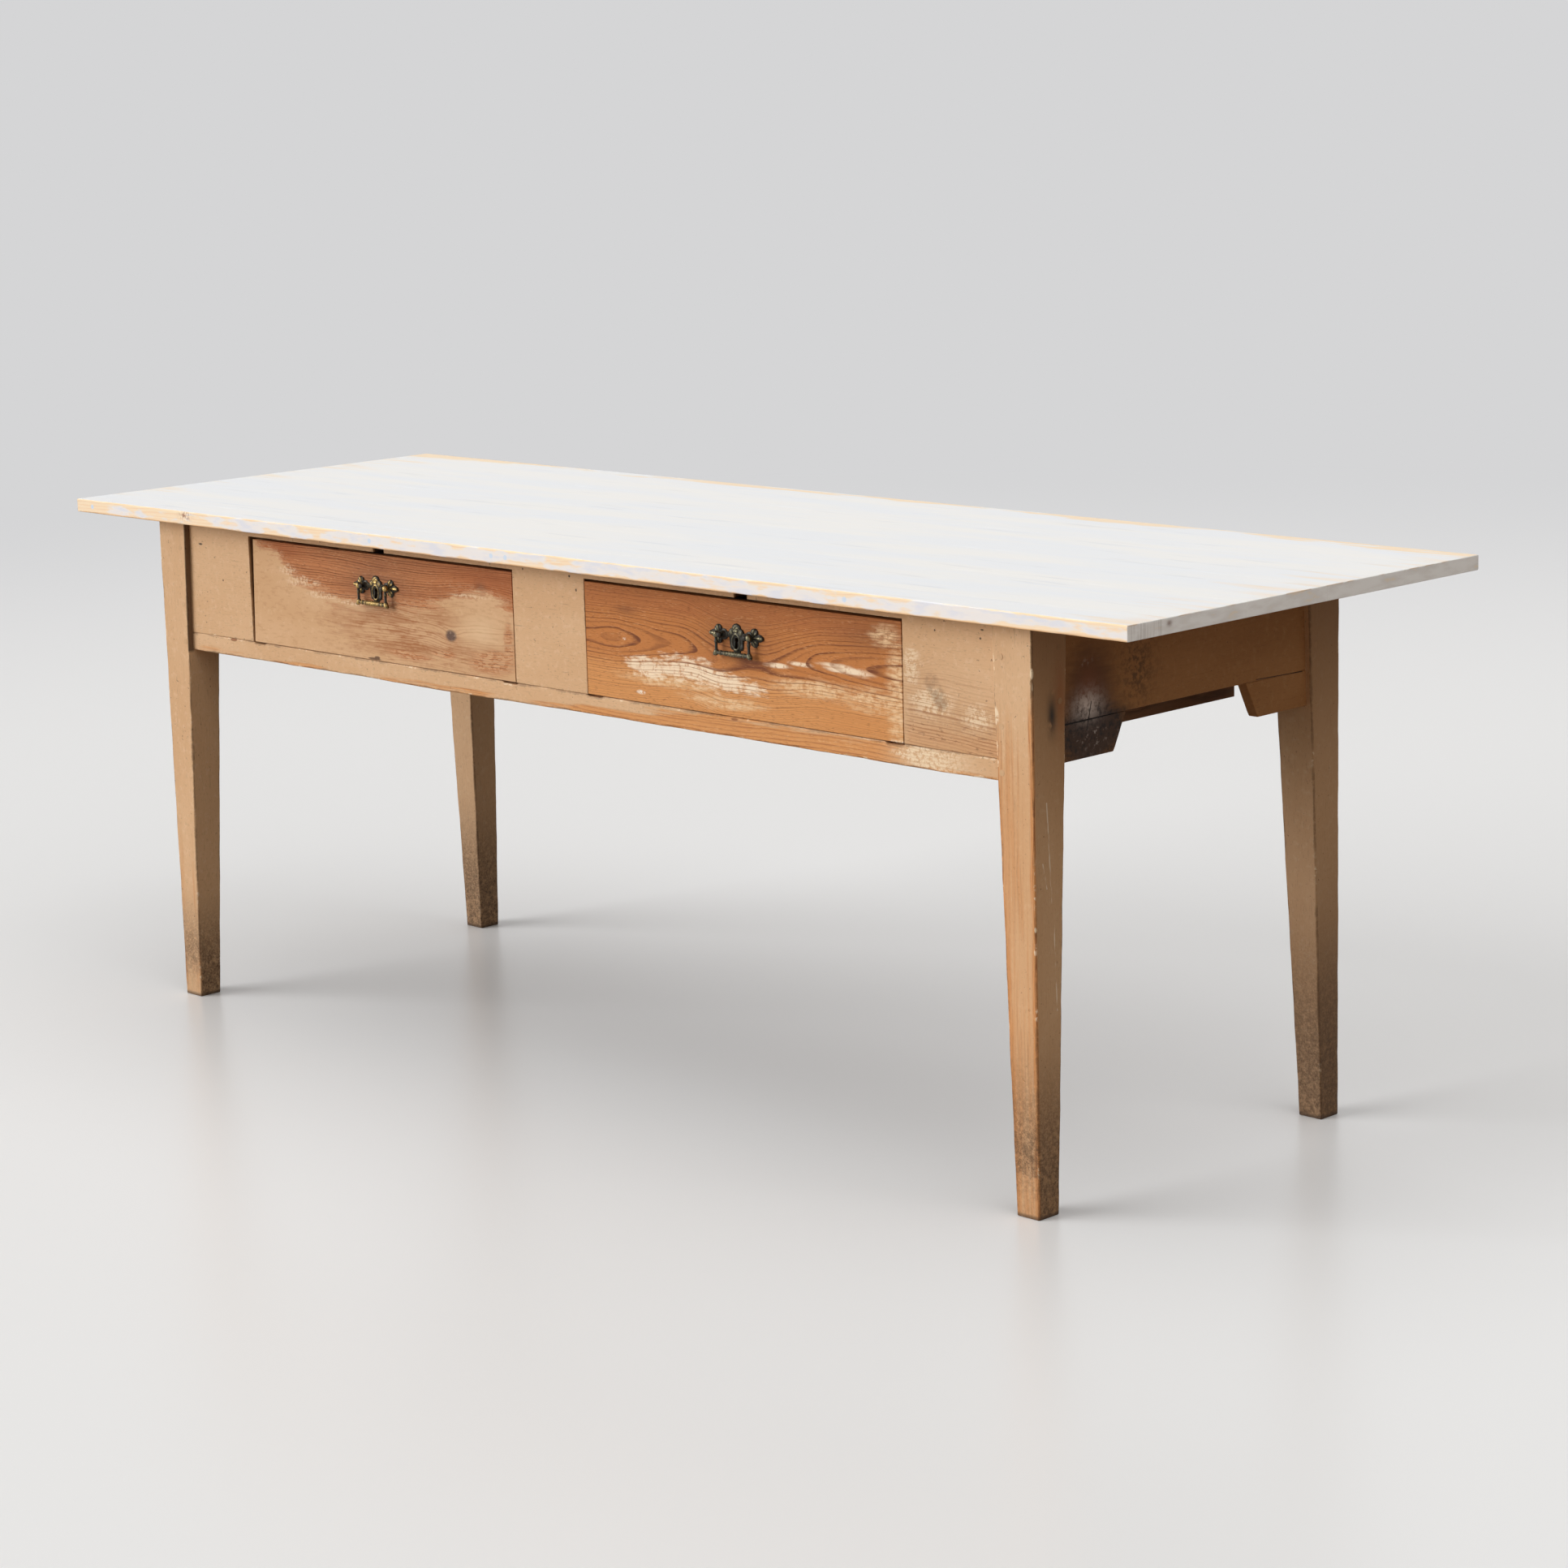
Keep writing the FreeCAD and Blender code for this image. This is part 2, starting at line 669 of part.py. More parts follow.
def drawer_box(side):
    """The five boards of one drawer and its nails."""
    start = f"{side}_opening_start"
    end = f"{side}_opening_end"
    centre = f"{side}_keyhole"
    gap_low, gap_high = LEAN_GAPS[side]
    outer = {"left": f"{start} + {gap_high}", "right": f"{end} - front_gap_side"}
    inner = {"left": f"({outer['left']} + side_thickness)", "right": f"({outer['right']} - side_thickness)"}
    between = (inner["left"], inner["right"])
    grooved = ("bottom_low", "bottom_high")

    sockets = []
    for hand in SIDES:
        span = inward(outer[hand], "side_thickness", hand)
        label = f"{side}_drawer_side_{hand}"
        plank = box(label + "_plank", span, ("apron_inside", "drawer_end"), ("apron_bottom", "side_top"))
        open_span = (start, span[1]) if hand == "left" else (span[0], end)
        tails = []
        for index, share in enumerate(TAIL_SHARES):
            level = f"(apron_bottom + side_height * {share})"
            tip = about(level, "tail_tip_width")
            root = about(level, "tail_root_width")
            reach = ("apron_inside - tail_length", "apron_inside")
            tails.append(tapered(f"{label}_tail_{index}", span, reach, tip, span, root))
            sockets.append(tapered(f"{label}_socket_{index}", open_span, reach, tip, open_span, root))
        into = outward(inner[hand], "groove_depth", hand)
        wide = (into[0], f"{into[1]} + overrun") if hand == "left" else (f"{into[0]} - overrun", into[1])
        groove = box(label + "_groove", wide, ("apron_inside", "drawer_end + overrun"), grooved)
        node(cut(label, fuse(label + "_tailed", [plank] + tails), [groove]))

    blank = upright(
        f"{side}_drawer_front_blank",
        (f"{start} + {gap_low}", outer["right"]), front_span,
        (outer["left"], outer["right"]), front_span,
        ("front_low", "front_high"),
    )
    open_inside = "apron_inside + overrun"
    case = about(centre, "lock_width")
    deep = ("lock_face", open_inside)
    shallow = ("lock_plate_face", open_inside)
    open_top = "front_high + overrun"
    lock_seats = [
        box(f"{side}_lock_seat", case, deep, ("lock_bottom", open_top)),
        box(f"{side}_flange_seat", case, shallow, ("lock_bottom - lock_flange", "lock_bottom")),
        box(f"{side}_selvedge_seat", about(centre, "selvedge_width"), deep, ("lock_top", open_top)),
    ]
    groove = box(f"{side}_front_groove", between, ("apron_inside - groove_depth", open_inside), grooved)
    tools = sockets + lock_seats + [groove]
    tools += keyhole_tools(f"{side}_front_keyhole", side) + post_tools(f"{side}_front_post_hole", side)
    node(cut(f"{side}_drawer_front", blank, tools))

    wide = (f"{between[0]} - groove_depth", f"{between[1]} + groove_depth")
    sheet = box(f"{side}_drawer_bottom_sheet", wide, ("apron_inside", "drawer_end"), grooved)
    lip_depth = ("apron_inside - groove_depth", "apron_inside")
    lip = box(f"{side}_drawer_bottom_lip", between, lip_depth, grooved)
    node(fuse(f"{side}_drawer_bottom", [sheet, lip]))
    back_high = ("bottom_high", "side_top - drawer_back_drop")
    back_depth = ("drawer_end - drawer_back_thickness", "drawer_end")
    node(box(f"{side}_drawer_back", between, back_depth, back_high))

    fasteners = []
    depth = "drawer_end - drawer_back_thickness / 2"
    for index, share in enumerate(BOTTOM_NAIL_SHARES):
        across = f"{between[0]} + ({between[1]} - {between[0]}) * {share}"
        reach = ("bottom_low", "bottom_high + drawer_nail_bite")
        label = f"{side}_bottom_nail_{index}"
        fasteners.append(cylinder(label, "z", reach, (across, depth), "drawer_nail_radius"))
    for index, share in enumerate(BACK_NAIL_SHARES):
        level = f"{back_high[0]} + ({back_high[1]} - {back_high[0]}) * {share}"
        for hand in SIDES:
            reach = inward(outer[hand], "(side_thickness + drawer_nail_bite)", hand)
            label = f"{side}_back_nail_{hand}_{index}"
            fasteners.append(cylinder(label, "x", reach, (depth, level), "drawer_nail_radius"))
    node(group(f"{side}_drawer_nails", fasteners))


def drawer_lock(side):
    """A cut lock let into the drawer front: cap, plate with its top lip and key pin, bolt, screws."""
    centre = f"{side}_keyhole"
    bolt = f"({centre} + bolt_offset)"
    case = about(centre, "lock_width")
    shell = box(f"{side}_lock_shell", case, ("lock_face", "lock_plate_face"), ("lock_bottom", "lock_top"))
    hollow = box(
        f"{side}_lock_hollow",
        about(centre, "lock_width - 2 * lock_wall"),
        ("lock_face + lock_wall", "lock_plate_face + overrun"),
        ("lock_bottom + lock_wall", "lock_top + overrun"),
    )
    node(cut(f"{side}_lock_cap", shell, [hollow] + keyhole_tools(f"{side}_cap_keyhole", side)))

    tall = ("lock_bottom - lock_flange", "lock_top")
    sheet = box(f"{side}_lock_sheet", case, ("lock_plate_face", "apron_inside"), tall)
    lip_width = about(centre, "selvedge_width")
    lip = box(f"{side}_selvedge", lip_width, ("lock_face", "apron_inside"), ("lock_top", "front_high"))
    reach = ("lock_plate_face - key_pin_length", "lock_plate_face")
    pin = cylinder(f"{side}_key_pin", "y", reach, (centre, "keyhole_height"), "key_pin_radius")
    slot = box(
        f"{side}_bolt_slot",
        about(bolt, "bolt_width + 2 * bolt_clearance"),
        about("bolt_depth", "bolt_thickness + 2 * bolt_clearance"),
        ("lock_top - overrun", "front_high + overrun"),
    )
    node(cut(f"{side}_lock_plate", fuse(f"{side}_lock_plate_whole", [sheet, lip, pin]), [slot]))

    thick = about("bolt_depth", "bolt_thickness")
    foot = "keyhole_height + bolt_above_keyhole"
    step = "lock_top - bolt_travel - bolt_clearance"
    head = box(f"{side}_bolt_head", about(bolt, "bolt_width"), thick, (step, "front_high"))
    body = box(f"{side}_bolt_body", about(bolt, "bolt_width + 2 * bolt_shoulder"), thick, (foot, step))
    talon = box(
        f"{side}_bolt_talon",
        about(bolt, "talon_width"),
        about("bolt_depth", "bolt_thickness + overrun"),
        (f"{foot} - overrun", f"{foot} + talon_height"),
    )
    node(cut(f"{side}_lock_bolt", fuse(f"{side}_bolt_whole", [head, body]), [talon]))

    screws = []
    for hand, sign in zip(SIDES, "-+"):
        spot = (f"{centre} {sign} lock_width * {LOCK_SCREW_SHARE}", "lock_bottom - lock_flange / 2")
        reach = ("apron_inside - lock_screw_length", "apron_inside")
        screws.append(cylinder(f"{side}_flange_screw_{hand}", "y", reach, spot, "lock_screw_radius"))
        spot = (f"{centre} {sign} (selvedge_width + lock_width) / 4", "(lock_face + apron_inside) / 2")
        reach = ("front_high - lock_screw_length", "front_high")
        screws.append(cylinder(f"{side}_selvedge_screw_{hand}", "z", reach, spot, "lock_screw_radius"))
    node(group(f"{side}_lock_screws", screws))


def drawer_handle(side):
    """A lobed brass plate, two posts with nuts, and a bail that swings on the posts."""
    centre = f"{side}_keyhole"
    sheet = ("plate_face", "apron_face")
    lobes = []
    for index, (across, up, radius) in enumerate(LOBE_SHARES):
        for sign in ("+",) if across == 0 else ("-", "+"):
            spot = (f"{centre} {sign} plate_half_width * {across}", f"keyhole_height + plate_rise * ({up})")
            label = f"{side}_lobe_{index}{'a' if sign == '-' else 'b'}"
            lobes.append(cylinder(label, "y", sheet, spot, f"plate_rise * {radius}"))
    reach, low, high = ARM_SHARES
    arm_height = (f"keyhole_height + plate_rise * {low}", f"keyhole_height + plate_rise * {high}")
    arm_width = about(centre, f"2 * plate_half_width * {reach}")
    lobes.append(box(f"{side}_plate_arms", arm_width, sheet, arm_height))
    tools = keyhole_tools(f"{side}_plate_keyhole", side) + post_tools(f"{side}_plate_post_hole", side)
    node(cut(f"{side}_handle_plate", fuse(f"{side}_plate_lobes", lobes), tools))

    posts = []
    nuts = []
    limbs = []
    for mark, place, hand in post_places(side):
        label = f"{side}_post_{mark}"
        spot = (place, "post_height")
        tail = "apron_inside + nut_thickness"
        shank = cylinder(label + "_shank", "y", ("pivot_depth", tail + " + post_tail"), spot, "post_radius")
        flare = ("plate_face - post_collar_height", "plate_face")
        narrow = "(post_radius + post_collar_radius) / 2"
        collar = cone(label + "_collar", "y", flare, spot, narrow, "post_collar_radius")
        head = ball(label + "_head", place, "pivot_depth", "post_height", "post_head_radius")
        eye_span = about(place, "4 * post_head_radius")
        pivot = ("pivot_depth", "post_height")
        eye = cylinder(label + "_eye", "x", eye_span, pivot, "bail_tip_radius + bail_tip_clearance")
        posts.append(cut(label, fuse(label + "_whole", [shank, collar, head]), [eye]))

        nut_high = about("post_height", "nut_width")
        block = box(label + "_nut_block", about(place, "nut_width"), ("apron_inside", tail), nut_high)
        bore_span = ("apron_inside - overrun", tail + " + overrun")
        bore = cylinder(label + "_nut_bore", "y", bore_span, spot, "post_radius + post_clearance")
        nuts.append(cut(label + "_nut", block, [bore]))

        sign = "-" if hand == "left" else "+"
        arm = f"({centre} {sign} bail_arm)"
        inside = f"{place} + post_head_radius" if hand == "left" else f"{place} - post_head_radius"
        tip_span = (arm, inside) if hand == "left" else (inside, arm)
        label = f"{side}_bail_{mark}"
        hang = ("bail_bottom", "post_height")
        limbs += [
            cylinder(label + "_tip", "x", tip_span, pivot, "bail_tip_radius"),
            ball(label + "_knuckle", arm, "pivot_depth", "post_height", "bail_knuckle_radius"),
            cylinder(label + "_arm", "z", hang, (arm, "pivot_depth"), "bail_arm_radius"),
            ball(label + "_corner", arm, "pivot_depth", "bail_bottom", "bail_corner_radius"),
        ]
    node(group(f"{side}_handle_posts", posts))
    node(group(f"{side}_post_nuts", nuts))

    swell = "(grip_radius - grip_neck_radius)"
    profile = [("0", "0")]
    for run, rise in GRIP_SHARES:
        profile.append((f"2 * bail_arm * {run}", f"grip_neck_radius + {swell} * {rise}"))
    profile.append(("2 * bail_arm", "0"))
    grip = put(turned(f"{side}_grip", profile), f"{centre} - bail_arm", "pivot_depth", "bail_bottom")
    node(fuse(f"{side}_bail", limbs + [grip]))


for side in SIDES:
    drawer_box(side)
    drawer_lock(side)
    drawer_handle(side)

document.recompute()

for item in document.Objects:
    if "Invalid" in item.State or "Error" in item.State:
        raise RuntimeError(f"{item.Name} failed: {item.State}")
for item in nodes:
    if item.Shape.isNull() or not item.Shape.isValid():
        raise RuntimeError(f"{item.Label} has no valid shape")

os.makedirs("parts", exist_ok=True)
for item in nodes:
    item.Shape.exportStep(f"parts/{item.Label}.step")
    print(item.Label, len(item.Shape.Solids), "solids", round(item.Shape.Volume))
print(len(nodes), "pieces")
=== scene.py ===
# %% [markdown]
# # A worn kitchen table with two drawers
# The table's solids are already built, sized and jointed. This notebook dresses them: every board that
# shows gets worn corners, old paint, whitewash or stripped pine, and the two handles become cast brass.
# Nothing here moves a solid, so each new piece is worked out from the box of the solid that it stands
# for.

import bmesh
import bpy
import numpy as np
from mathutils import Matrix, Vector


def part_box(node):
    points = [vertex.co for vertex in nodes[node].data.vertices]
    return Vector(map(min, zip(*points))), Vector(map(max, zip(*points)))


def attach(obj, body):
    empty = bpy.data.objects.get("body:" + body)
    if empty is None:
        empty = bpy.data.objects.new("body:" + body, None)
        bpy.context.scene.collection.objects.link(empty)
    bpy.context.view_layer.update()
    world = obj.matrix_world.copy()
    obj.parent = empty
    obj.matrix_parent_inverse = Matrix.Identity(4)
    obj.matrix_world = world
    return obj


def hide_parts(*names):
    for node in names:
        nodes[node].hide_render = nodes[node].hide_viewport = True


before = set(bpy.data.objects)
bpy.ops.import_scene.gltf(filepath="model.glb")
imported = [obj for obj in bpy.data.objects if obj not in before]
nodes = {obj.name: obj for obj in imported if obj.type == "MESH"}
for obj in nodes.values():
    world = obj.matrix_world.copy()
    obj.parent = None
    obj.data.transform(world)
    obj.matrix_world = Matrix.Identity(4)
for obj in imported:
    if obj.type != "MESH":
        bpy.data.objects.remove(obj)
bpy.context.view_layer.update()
MM = 0.001

# %% [markdown]
# ## Camera
# The camera was found from the corners of the table top and legs in the photograph: a place, three
# angles and a focal length in pixels. Turning a camera step by step invites mistakes, so its matrix is
# written at once, with the picture's right, its up and the reverse of the view as columns.

# %% Camera
PHOTO_SIDE = 1932
FOCAL_PIXELS = 4696.1
CAMERA_PLACE = np.array([3894.6, -3723.1, 1483.6]) * MM
YAW, PITCH, ROLL = np.radians([45.334, 11.475, -1.574])

forward = np.array([-np.sin(YAW) * np.cos(PITCH), np.cos(YAW) * np.cos(PITCH), -np.sin(PITCH)])
level = np.array([np.cos(YAW), np.sin(YAW), 0.0])
above = np.cross(level, forward)
right = level * np.cos(ROLL) + above * np.sin(ROLL)
up = above * np.cos(ROLL) - level * np.sin(ROLL)

lens = bpy.data.cameras.new("camera")
lens.lens = lens.sensor_width * FOCAL_PIXELS / PHOTO_SIDE
camera = bpy.data.objects.new("camera", lens)
pose = np.eye(4)
pose[:3] = np.column_stack([right, up, -forward, CAMERA_PLACE])
camera.matrix_world = Matrix(pose.tolist())
bpy.context.scene.collection.objects.link(camera)
bpy.context.scene.camera = camera
bpy.context.scene.view_settings.view_transform = "Standard"
print("lens:", round(lens.lens, 1), "mm")

# %% [markdown]
# ## Writing materials as arithmetic
# A material is a tree of nodes. Adding them one by one hides what they work out, so a small class lets
# each value in the tree be added, multiplied and compared as a plain number would be, and draws the
# Math nodes by itself.

# %% Values that flow through a material
class Wire:
    """One value in a material; arithmetic on it adds Math nodes."""

    def __init__(self, finish, socket):
        self.finish = finish
        self.socket = socket

    def math(self, operation, *others):
        return self.finish.add("ShaderNodeMath", (self, *others), operation=operation)

    def __add__(self, other):
        return self.math("ADD", other)

    def __sub__(self, other):
        return self.math("SUBTRACT", other)

    def __rsub__(self, other):
        return self.finish.add("ShaderNodeMath", (other, self), operation="SUBTRACT")

    def __mul__(self, other):
        return self.math("MULTIPLY", other)

    def __truediv__(self, other):
        return self.math("DIVIDE", other)

    def top(self, other):
        return self.math("MAXIMUM", other)

    def least(self, other):
        return self.math("MINIMUM", other)

    def squared(self):
        return self.math("MULTIPLY", self)

    def smooth(self, low, high):
        """0 at low and 1 at high, with a soft start and end; low may be the larger."""
        return self.finish.add("ShaderNodeMapRange", (self, low, high), interpolation_type="SMOOTHSTEP")


print("arithmetic ready")

# %% [markdown]
# A screen shows colours as numbers from 0 to 255, while shaders count linear light. One function turns
# the first into the second, so every colour below is written as it looks.

# %% Colours
def tone(red, green, blue):
    """A colour as a screen shows it, from 0 to 255, turned into the linear light that shaders use."""
    share = np.array([red, green, blue]) / 255
    linear = np.where(share <= 0.04045, share / 12.92, ((share + 0.055) / 1.055) ** 2.4)
    return (*linear.tolist(), 1.0)


print("middle grey as linear light:", round(tone(128, 128, 128)[0], 3))

# %% [markdown]
# A material that is being made keeps its node tree, its shader and the place on the piece. It reads
# Object coordinates, so a pattern stays on its piece when the piece moves. Boards lie in different
# directions: the first of the three letters in axes is the one that the grain follows, and the other
# two go across it.

# %% A material in the making
class Ground:
    """A material in the making, read from the piece's own Object coordinates in metres."""

    def __init__(self, name, axes="xyz"):
        self.material = bpy.data.materials.new(name)
        self.material.use_nodes = True
        self.tree = self.material.node_tree
        self.shader = self.tree.nodes["Principled BSDF"]
        self.spot = self.tree.nodes.new("ShaderNodeTexCoord").outputs["Object"]
        split = self.tree.nodes.new("ShaderNodeSeparateXYZ")
        self.tree.links.new(self.spot, split.inputs[0])
        self.place = {axis: Wire(self, split.outputs[index]) for index, axis in enumerate("xyz")}
        self.axes = axes
        self.along, self.across, self.through = [self.place[axis] for axis in axes]

    def feed(self, socket, value):
        if isinstance(value, Wire):
            self.tree.links.new(value.socket, socket)
        else:
            socket.default_value = value

    def add(self, kind, values, output=0, **settings):
        """Adds a node, feeds its sockets in order and returns one of its outputs."""
        node = self.tree.nodes.new(kind)
        for setting, value in settings.items():
            setattr(node, setting, value)
        for socket, value in zip(node.inputs, values):
            self.feed(socket, value)
        return Wire(self, node.outputs[output])

    def mark(self, name):
        """A value that the mesh itself carries at its points."""
        node = self.tree.nodes.new("ShaderNodeAttribute")
        node.attribute_name = name
        return Wire(self, node.outputs["Fac"])

    def blend(self, share, first, second):
        """The first colour where share is 0, the second where it is 1."""
        node = self.tree.nodes.new("ShaderNodeMix")
        node.data_type = "RGBA"
        self.feed(node.inputs["Factor"], share)
        shown = [socket for socket in node.inputs if socket.enabled]
        self.feed(shown[1], first)
        self.feed(shown[2], second)
        return Wire(self, [socket for socket in node.outputs if socket.enabled][0])

    def done(self, colour, roughness, height=None, depth=0.001, **sockets):
        """Joins colour, roughness and relief to the shader."""
        self.feed(self.shader.inputs["Base Color"], colour)
        self.feed(self.shader.inputs["Roughness"], roughness)
        for name, value in sockets.items():
            self.feed(self.shader.inputs[name.replace("_", " ")], value)
        if height is not None:
            bump = self.tree.nodes.new("ShaderNodeBump")
            self.feed(bump.inputs["Height"], height)
            self.feed(bump.inputs["Distance"], depth)
            self.tree.links.new(bump.outputs[0], self.shader.inputs["Normal"])
        print("finish:", self.material.name, len(self.tree.nodes), "nodes")
        return self.material


print("material ground ready")

# %% [markdown]
# Wood, paint and rust are uneven at many sizes at once. Noise gives that, in patches of a chosen size,
# and drawn out along the grain where it stands for wood or brush marks.

# %% Noise along the grain
class Grained(Ground):
    """A material with noise to draw on."""

    def noise(self, sizes, seed=0.0, detail=2.0, roughness=0.5):
        """Soft noise about 0.5, in patches of the sizes given in metres along x, y and z."""
        spread = self.tree.nodes.new("ShaderNodeMapping")
        self.tree.links.new(self.spot, spread.inputs["Vector"])
        spread.inputs["Scale"].default_value = [1 / size for size in sizes]
        spread.inputs["Location"].default_value = (seed, seed * 1.7, seed * 2.3)
        node = self.tree.nodes.new("ShaderNodeTexNoise")
        self.tree.links.new(spread.outputs[0], node.inputs["Vector"])
        for name, value in (("Scale", 1.0), ("Detail", detail), ("Roughness", roughness)):
            node.inputs[name].default_value = value
        return Wire(self, node.outputs[0])

    def streaks(self, length, width, seed=0.0, detail=2.0):
        """Noise drawn out along the grain: patches of a length and a width in metres."""
        sizes = [length if axis == self.axes[0] else width for axis in "xyz"]
        return self.noise(sizes, seed, detail)

    def grains(self, size, seed=0.0, detail=2.0, roughness=0.5):
        """Noise that is alike in every direction, in patches of a size in metres."""
        return self.noise((size, size, size), seed, detail, roughness)

    def hum(self, value, seed=0.0):
        """Soft noise about 0.5 that depends on one value alone."""
        node = self.tree.nodes.new("ShaderNodeTexNoise")
        node.noise_dimensions = "1D"
        self.feed(node.inputs["W"], value + seed)
        self.feed(node.inputs["Scale"], 1.0)
        self.feed(node.inputs["Detail"], 1.0)
        return Wire(self, node.outputs[0])


print("noise ready")

# %% [markdown]
# A knot, a burn or a scratch belongs to one place. It is given by a centre and radii, or by two ends,
# in millimetres, as it would be measured on the table.

# %% Marks at one place
class Finish(Grained):
    """A material with marks at chosen places."""

    def away(self, centre, radii):
        """How far off a centre a place is, squared; the radii, along x, y and z, count as 1."""
        total = None
        for axis, middle, radius in zip("xyz", centre, radii):
            if radius is None:
                continue
            part = ((self.place[axis] - middle * MM) / (radius * MM)).squared()
            total = part if total is None else total + part
        return total

    def bell(self, centre, radii):
        """1 at a centre, falling away on all sides as a bell curve does."""
        return (self.away(centre, radii) * -1.0).math("EXPONENT")

    def blot(self, centre, radii, ragged=0.5, soft=0.25, seed=0.0):
        """1 inside an ellipsoid, 0 outside, with an edge that frays along the grain."""
        fray = self.streaks(0.05, 0.008, seed, 3.0) - 0.5
        distance = self.away(centre, radii).math("SQRT") + fray * (2 * ragged)
        return distance.smooth(1 + soft, 1 - soft)

    def blots(self, *several, **how):
        """The strongest of several blots, each given as (centre, radii)."""
        total = self.blot(*several[0], **how)
        for number, one in enumerate(several[1:], start=1):
            total = total.top(self.blot(*one, **{**how, "seed": how.get("seed", 0.0) + number}))
        return total

    def stroke(self, plane, start, end, half):
        """1 on a straight stroke between two places of a plane such as "xz", 0 beyond its half width."""
        run = (np.array(end, float) - start) * MM
        off = [self.place[axis] - place * MM for axis, place in zip(plane, start)]
        share = (off[0] * run[0] + off[1] * run[1]) / (run @ run)
        share = share.top(0.0).least(1.0)
        gaps = [one - share * step for one, step in zip(off, run)]
        distance = (gaps[0].squared() + gaps[1].squared()).math("SQRT")
        return distance.smooth(half * MM * 1.4, half * MM * 0.5)


print("marks ready")

# %% [markdown]
# ## Studio
# The photograph has a pale seamless floor. The table's shadow lies straight under it and the right-hand
# end is dark, so most of the light comes down from a wide ceiling, and a second wide light stands low
# on the left and lights the front. A third, weak one on the right keeps that end from going black. Area
# lamps light what is near them most; sun lamps with a wide angle are as soft and have no fall-off. The
# floor is faintly glossy and mirrors the legs. It looks pale to the camera but gives warm, weak light
# back upwards, as a room does. Far off it fades into the tone of the room, so no horizon shows.

# %% Floor
FLOOR_REACH = 60.0
FADE_START, FADE_END = 2.6, 7.0
FLOOR_TONE = tone(236, 236, 236)
FLOOR_BOUNCE_TONE = tone(98, 78, 56)
FLOOR_ROUGHNESS = 0.3
ROOM_TONE = tone(213, 213, 214)


def seen_rays(tree):
    """1 for rays that reach the camera straight, by a reflection or through glass; 0 for spread light."""
    path = tree.nodes.new("ShaderNodeLightPath")
    total = path.outputs["Is Camera Ray"]
    for name in ("Is Glossy Ray", "Is Transmission Ray"):
        most = tree.nodes.new("ShaderNodeMath")
        most.operation = "MAXIMUM"
        tree.links.new(total, most.inputs[0])
        tree.links.new(path.outputs[name], most.inputs[1])
        total = most.outputs[0]
    return total


def mix_shaders(tree, share, first, second, output):
    """Joins two shaders by a share and leads them to an output."""
    mix = tree.nodes.new("ShaderNodeMixShader")
    for socket, source in zip(mix.inputs, (share, first, second)):
        tree.links.new(source, socket)
    tree.links.new(mix.outputs[0], tree.nodes[output].inputs["Surface"])


corner_signs = np.array([[-1, -1], [1, -1], [1, 1], [-1, 1]])
floor_mesh = bpy.data.meshes.new("floor")
floor_points = np.column_stack([corner_signs * FLOOR_REACH, np.zeros(len(corner_signs))])
floor_mesh.from_pydata(floor_points.tolist(), [], [(0, 1, 2, 3)])
floor = bpy.data.objects.new("floor", floor_mesh)
bpy.context.scene.collection.objects.link(floor)

floor_finish = Finish("studio_floor")
seen = Wire(floor_finish, seen_rays(floor_finish.tree))
distance = (floor_finish.along.squared() + floor_finish.across.squared()).math("SQRT")
floor_colour = floor_finish.blend(seen, FLOOR_BOUNCE_TONE, FLOOR_TONE)
floor_mesh.materials.append(floor_finish.done(floor_colour, FLOOR_ROUGHNESS))
haze = floor_finish.tree.nodes.new("ShaderNodeEmission")
haze.inputs["Color"].default_value = ROOM_TONE
far = distance.smooth(FADE_START, FADE_END) * seen
surface = floor_finish.shader.outputs[0]
mix_shaders(floor_finish.tree, far.socket, surface, haze.outputs[0], "Material Output")

# %% Lights
def wide_sun(name, towards, strength, spread):
    """A sun lamp in the direction given, whose disc spans spread degrees."""
    data = bpy.data.lights.new(name, "SUN")
    data.energy = strength
    data.angle = np.radians(spread)
    lamp = bpy.data.objects.new(name, data)
    lamp.rotation_euler = Vector(towards).to_track_quat("Z", "Y").to_euler()
    bpy.context.scene.collection.objects.link(lamp)


wide_sun("ceiling_light", towards=(0.0, 0.0, 1.0), strength=1.4, spread=80.0)
wide_sun("front_light", towards=(-0.55, -0.75, 0.31), strength=2.85, spread=46.0)
wide_sun("side_light", towards=(0.80, -0.15, 0.55), strength=0.75, spread=60.0)
print("lights:", len(bpy.data.lights))

# %% Surroundings
ROOM_LIGHT_TONE = tone(255, 242, 220)
ROOM_LIGHT = 0.10

room = bpy.data.worlds.new("room")
room.use_nodes = True
bpy.context.scene.world = room
glow = room.node_tree.nodes["Background"]
glow.inputs["Color"].default_value = ROOM_LIGHT_TONE
glow.inputs["Strength"].default_value = ROOM_LIGHT
view = room.node_tree.nodes.new("ShaderNodeBackground")
view.inputs["Color"].default_value = ROOM_TONE
mix_shaders(room.node_tree, seen_rays(room.node_tree), glow.outputs[0], view.outputs[0], "World Output")
print("studio ready")

# %% [markdown]
# ## Pine
# A board is a slice through a tree, so its figure is worked out the same way: count the rings from the
# tree's pith to a place, and let each ring climb slowly from pale early wood to a thin dark line. The
# pith may wander and lean, which gives the long flames of a sawn face. A Wave texture would only give
# even stripes. Short dark and pale dashes along the grain are pores and raised fibres.

# %% Growth rings
def pith_count(finish, pith, ring, lean=0.0, seed=0.0):
    """Rings between a place and the pith: the distance from a wandering line over the ring width in mm."""
    drift = finish.hum(finish.along * 1.1, seed) - 0.5
    wander = finish.streaks(0.14, 0.04, seed) - 0.5
    side = finish.across - pith[0] * MM - drift * 0.040
    deep = finish.through - pith[1] * MM - finish.along * lean
    reach = (side.squared() + deep.squared()).math("SQRT") + wander * 0.010
    return reach / (ring * MM)


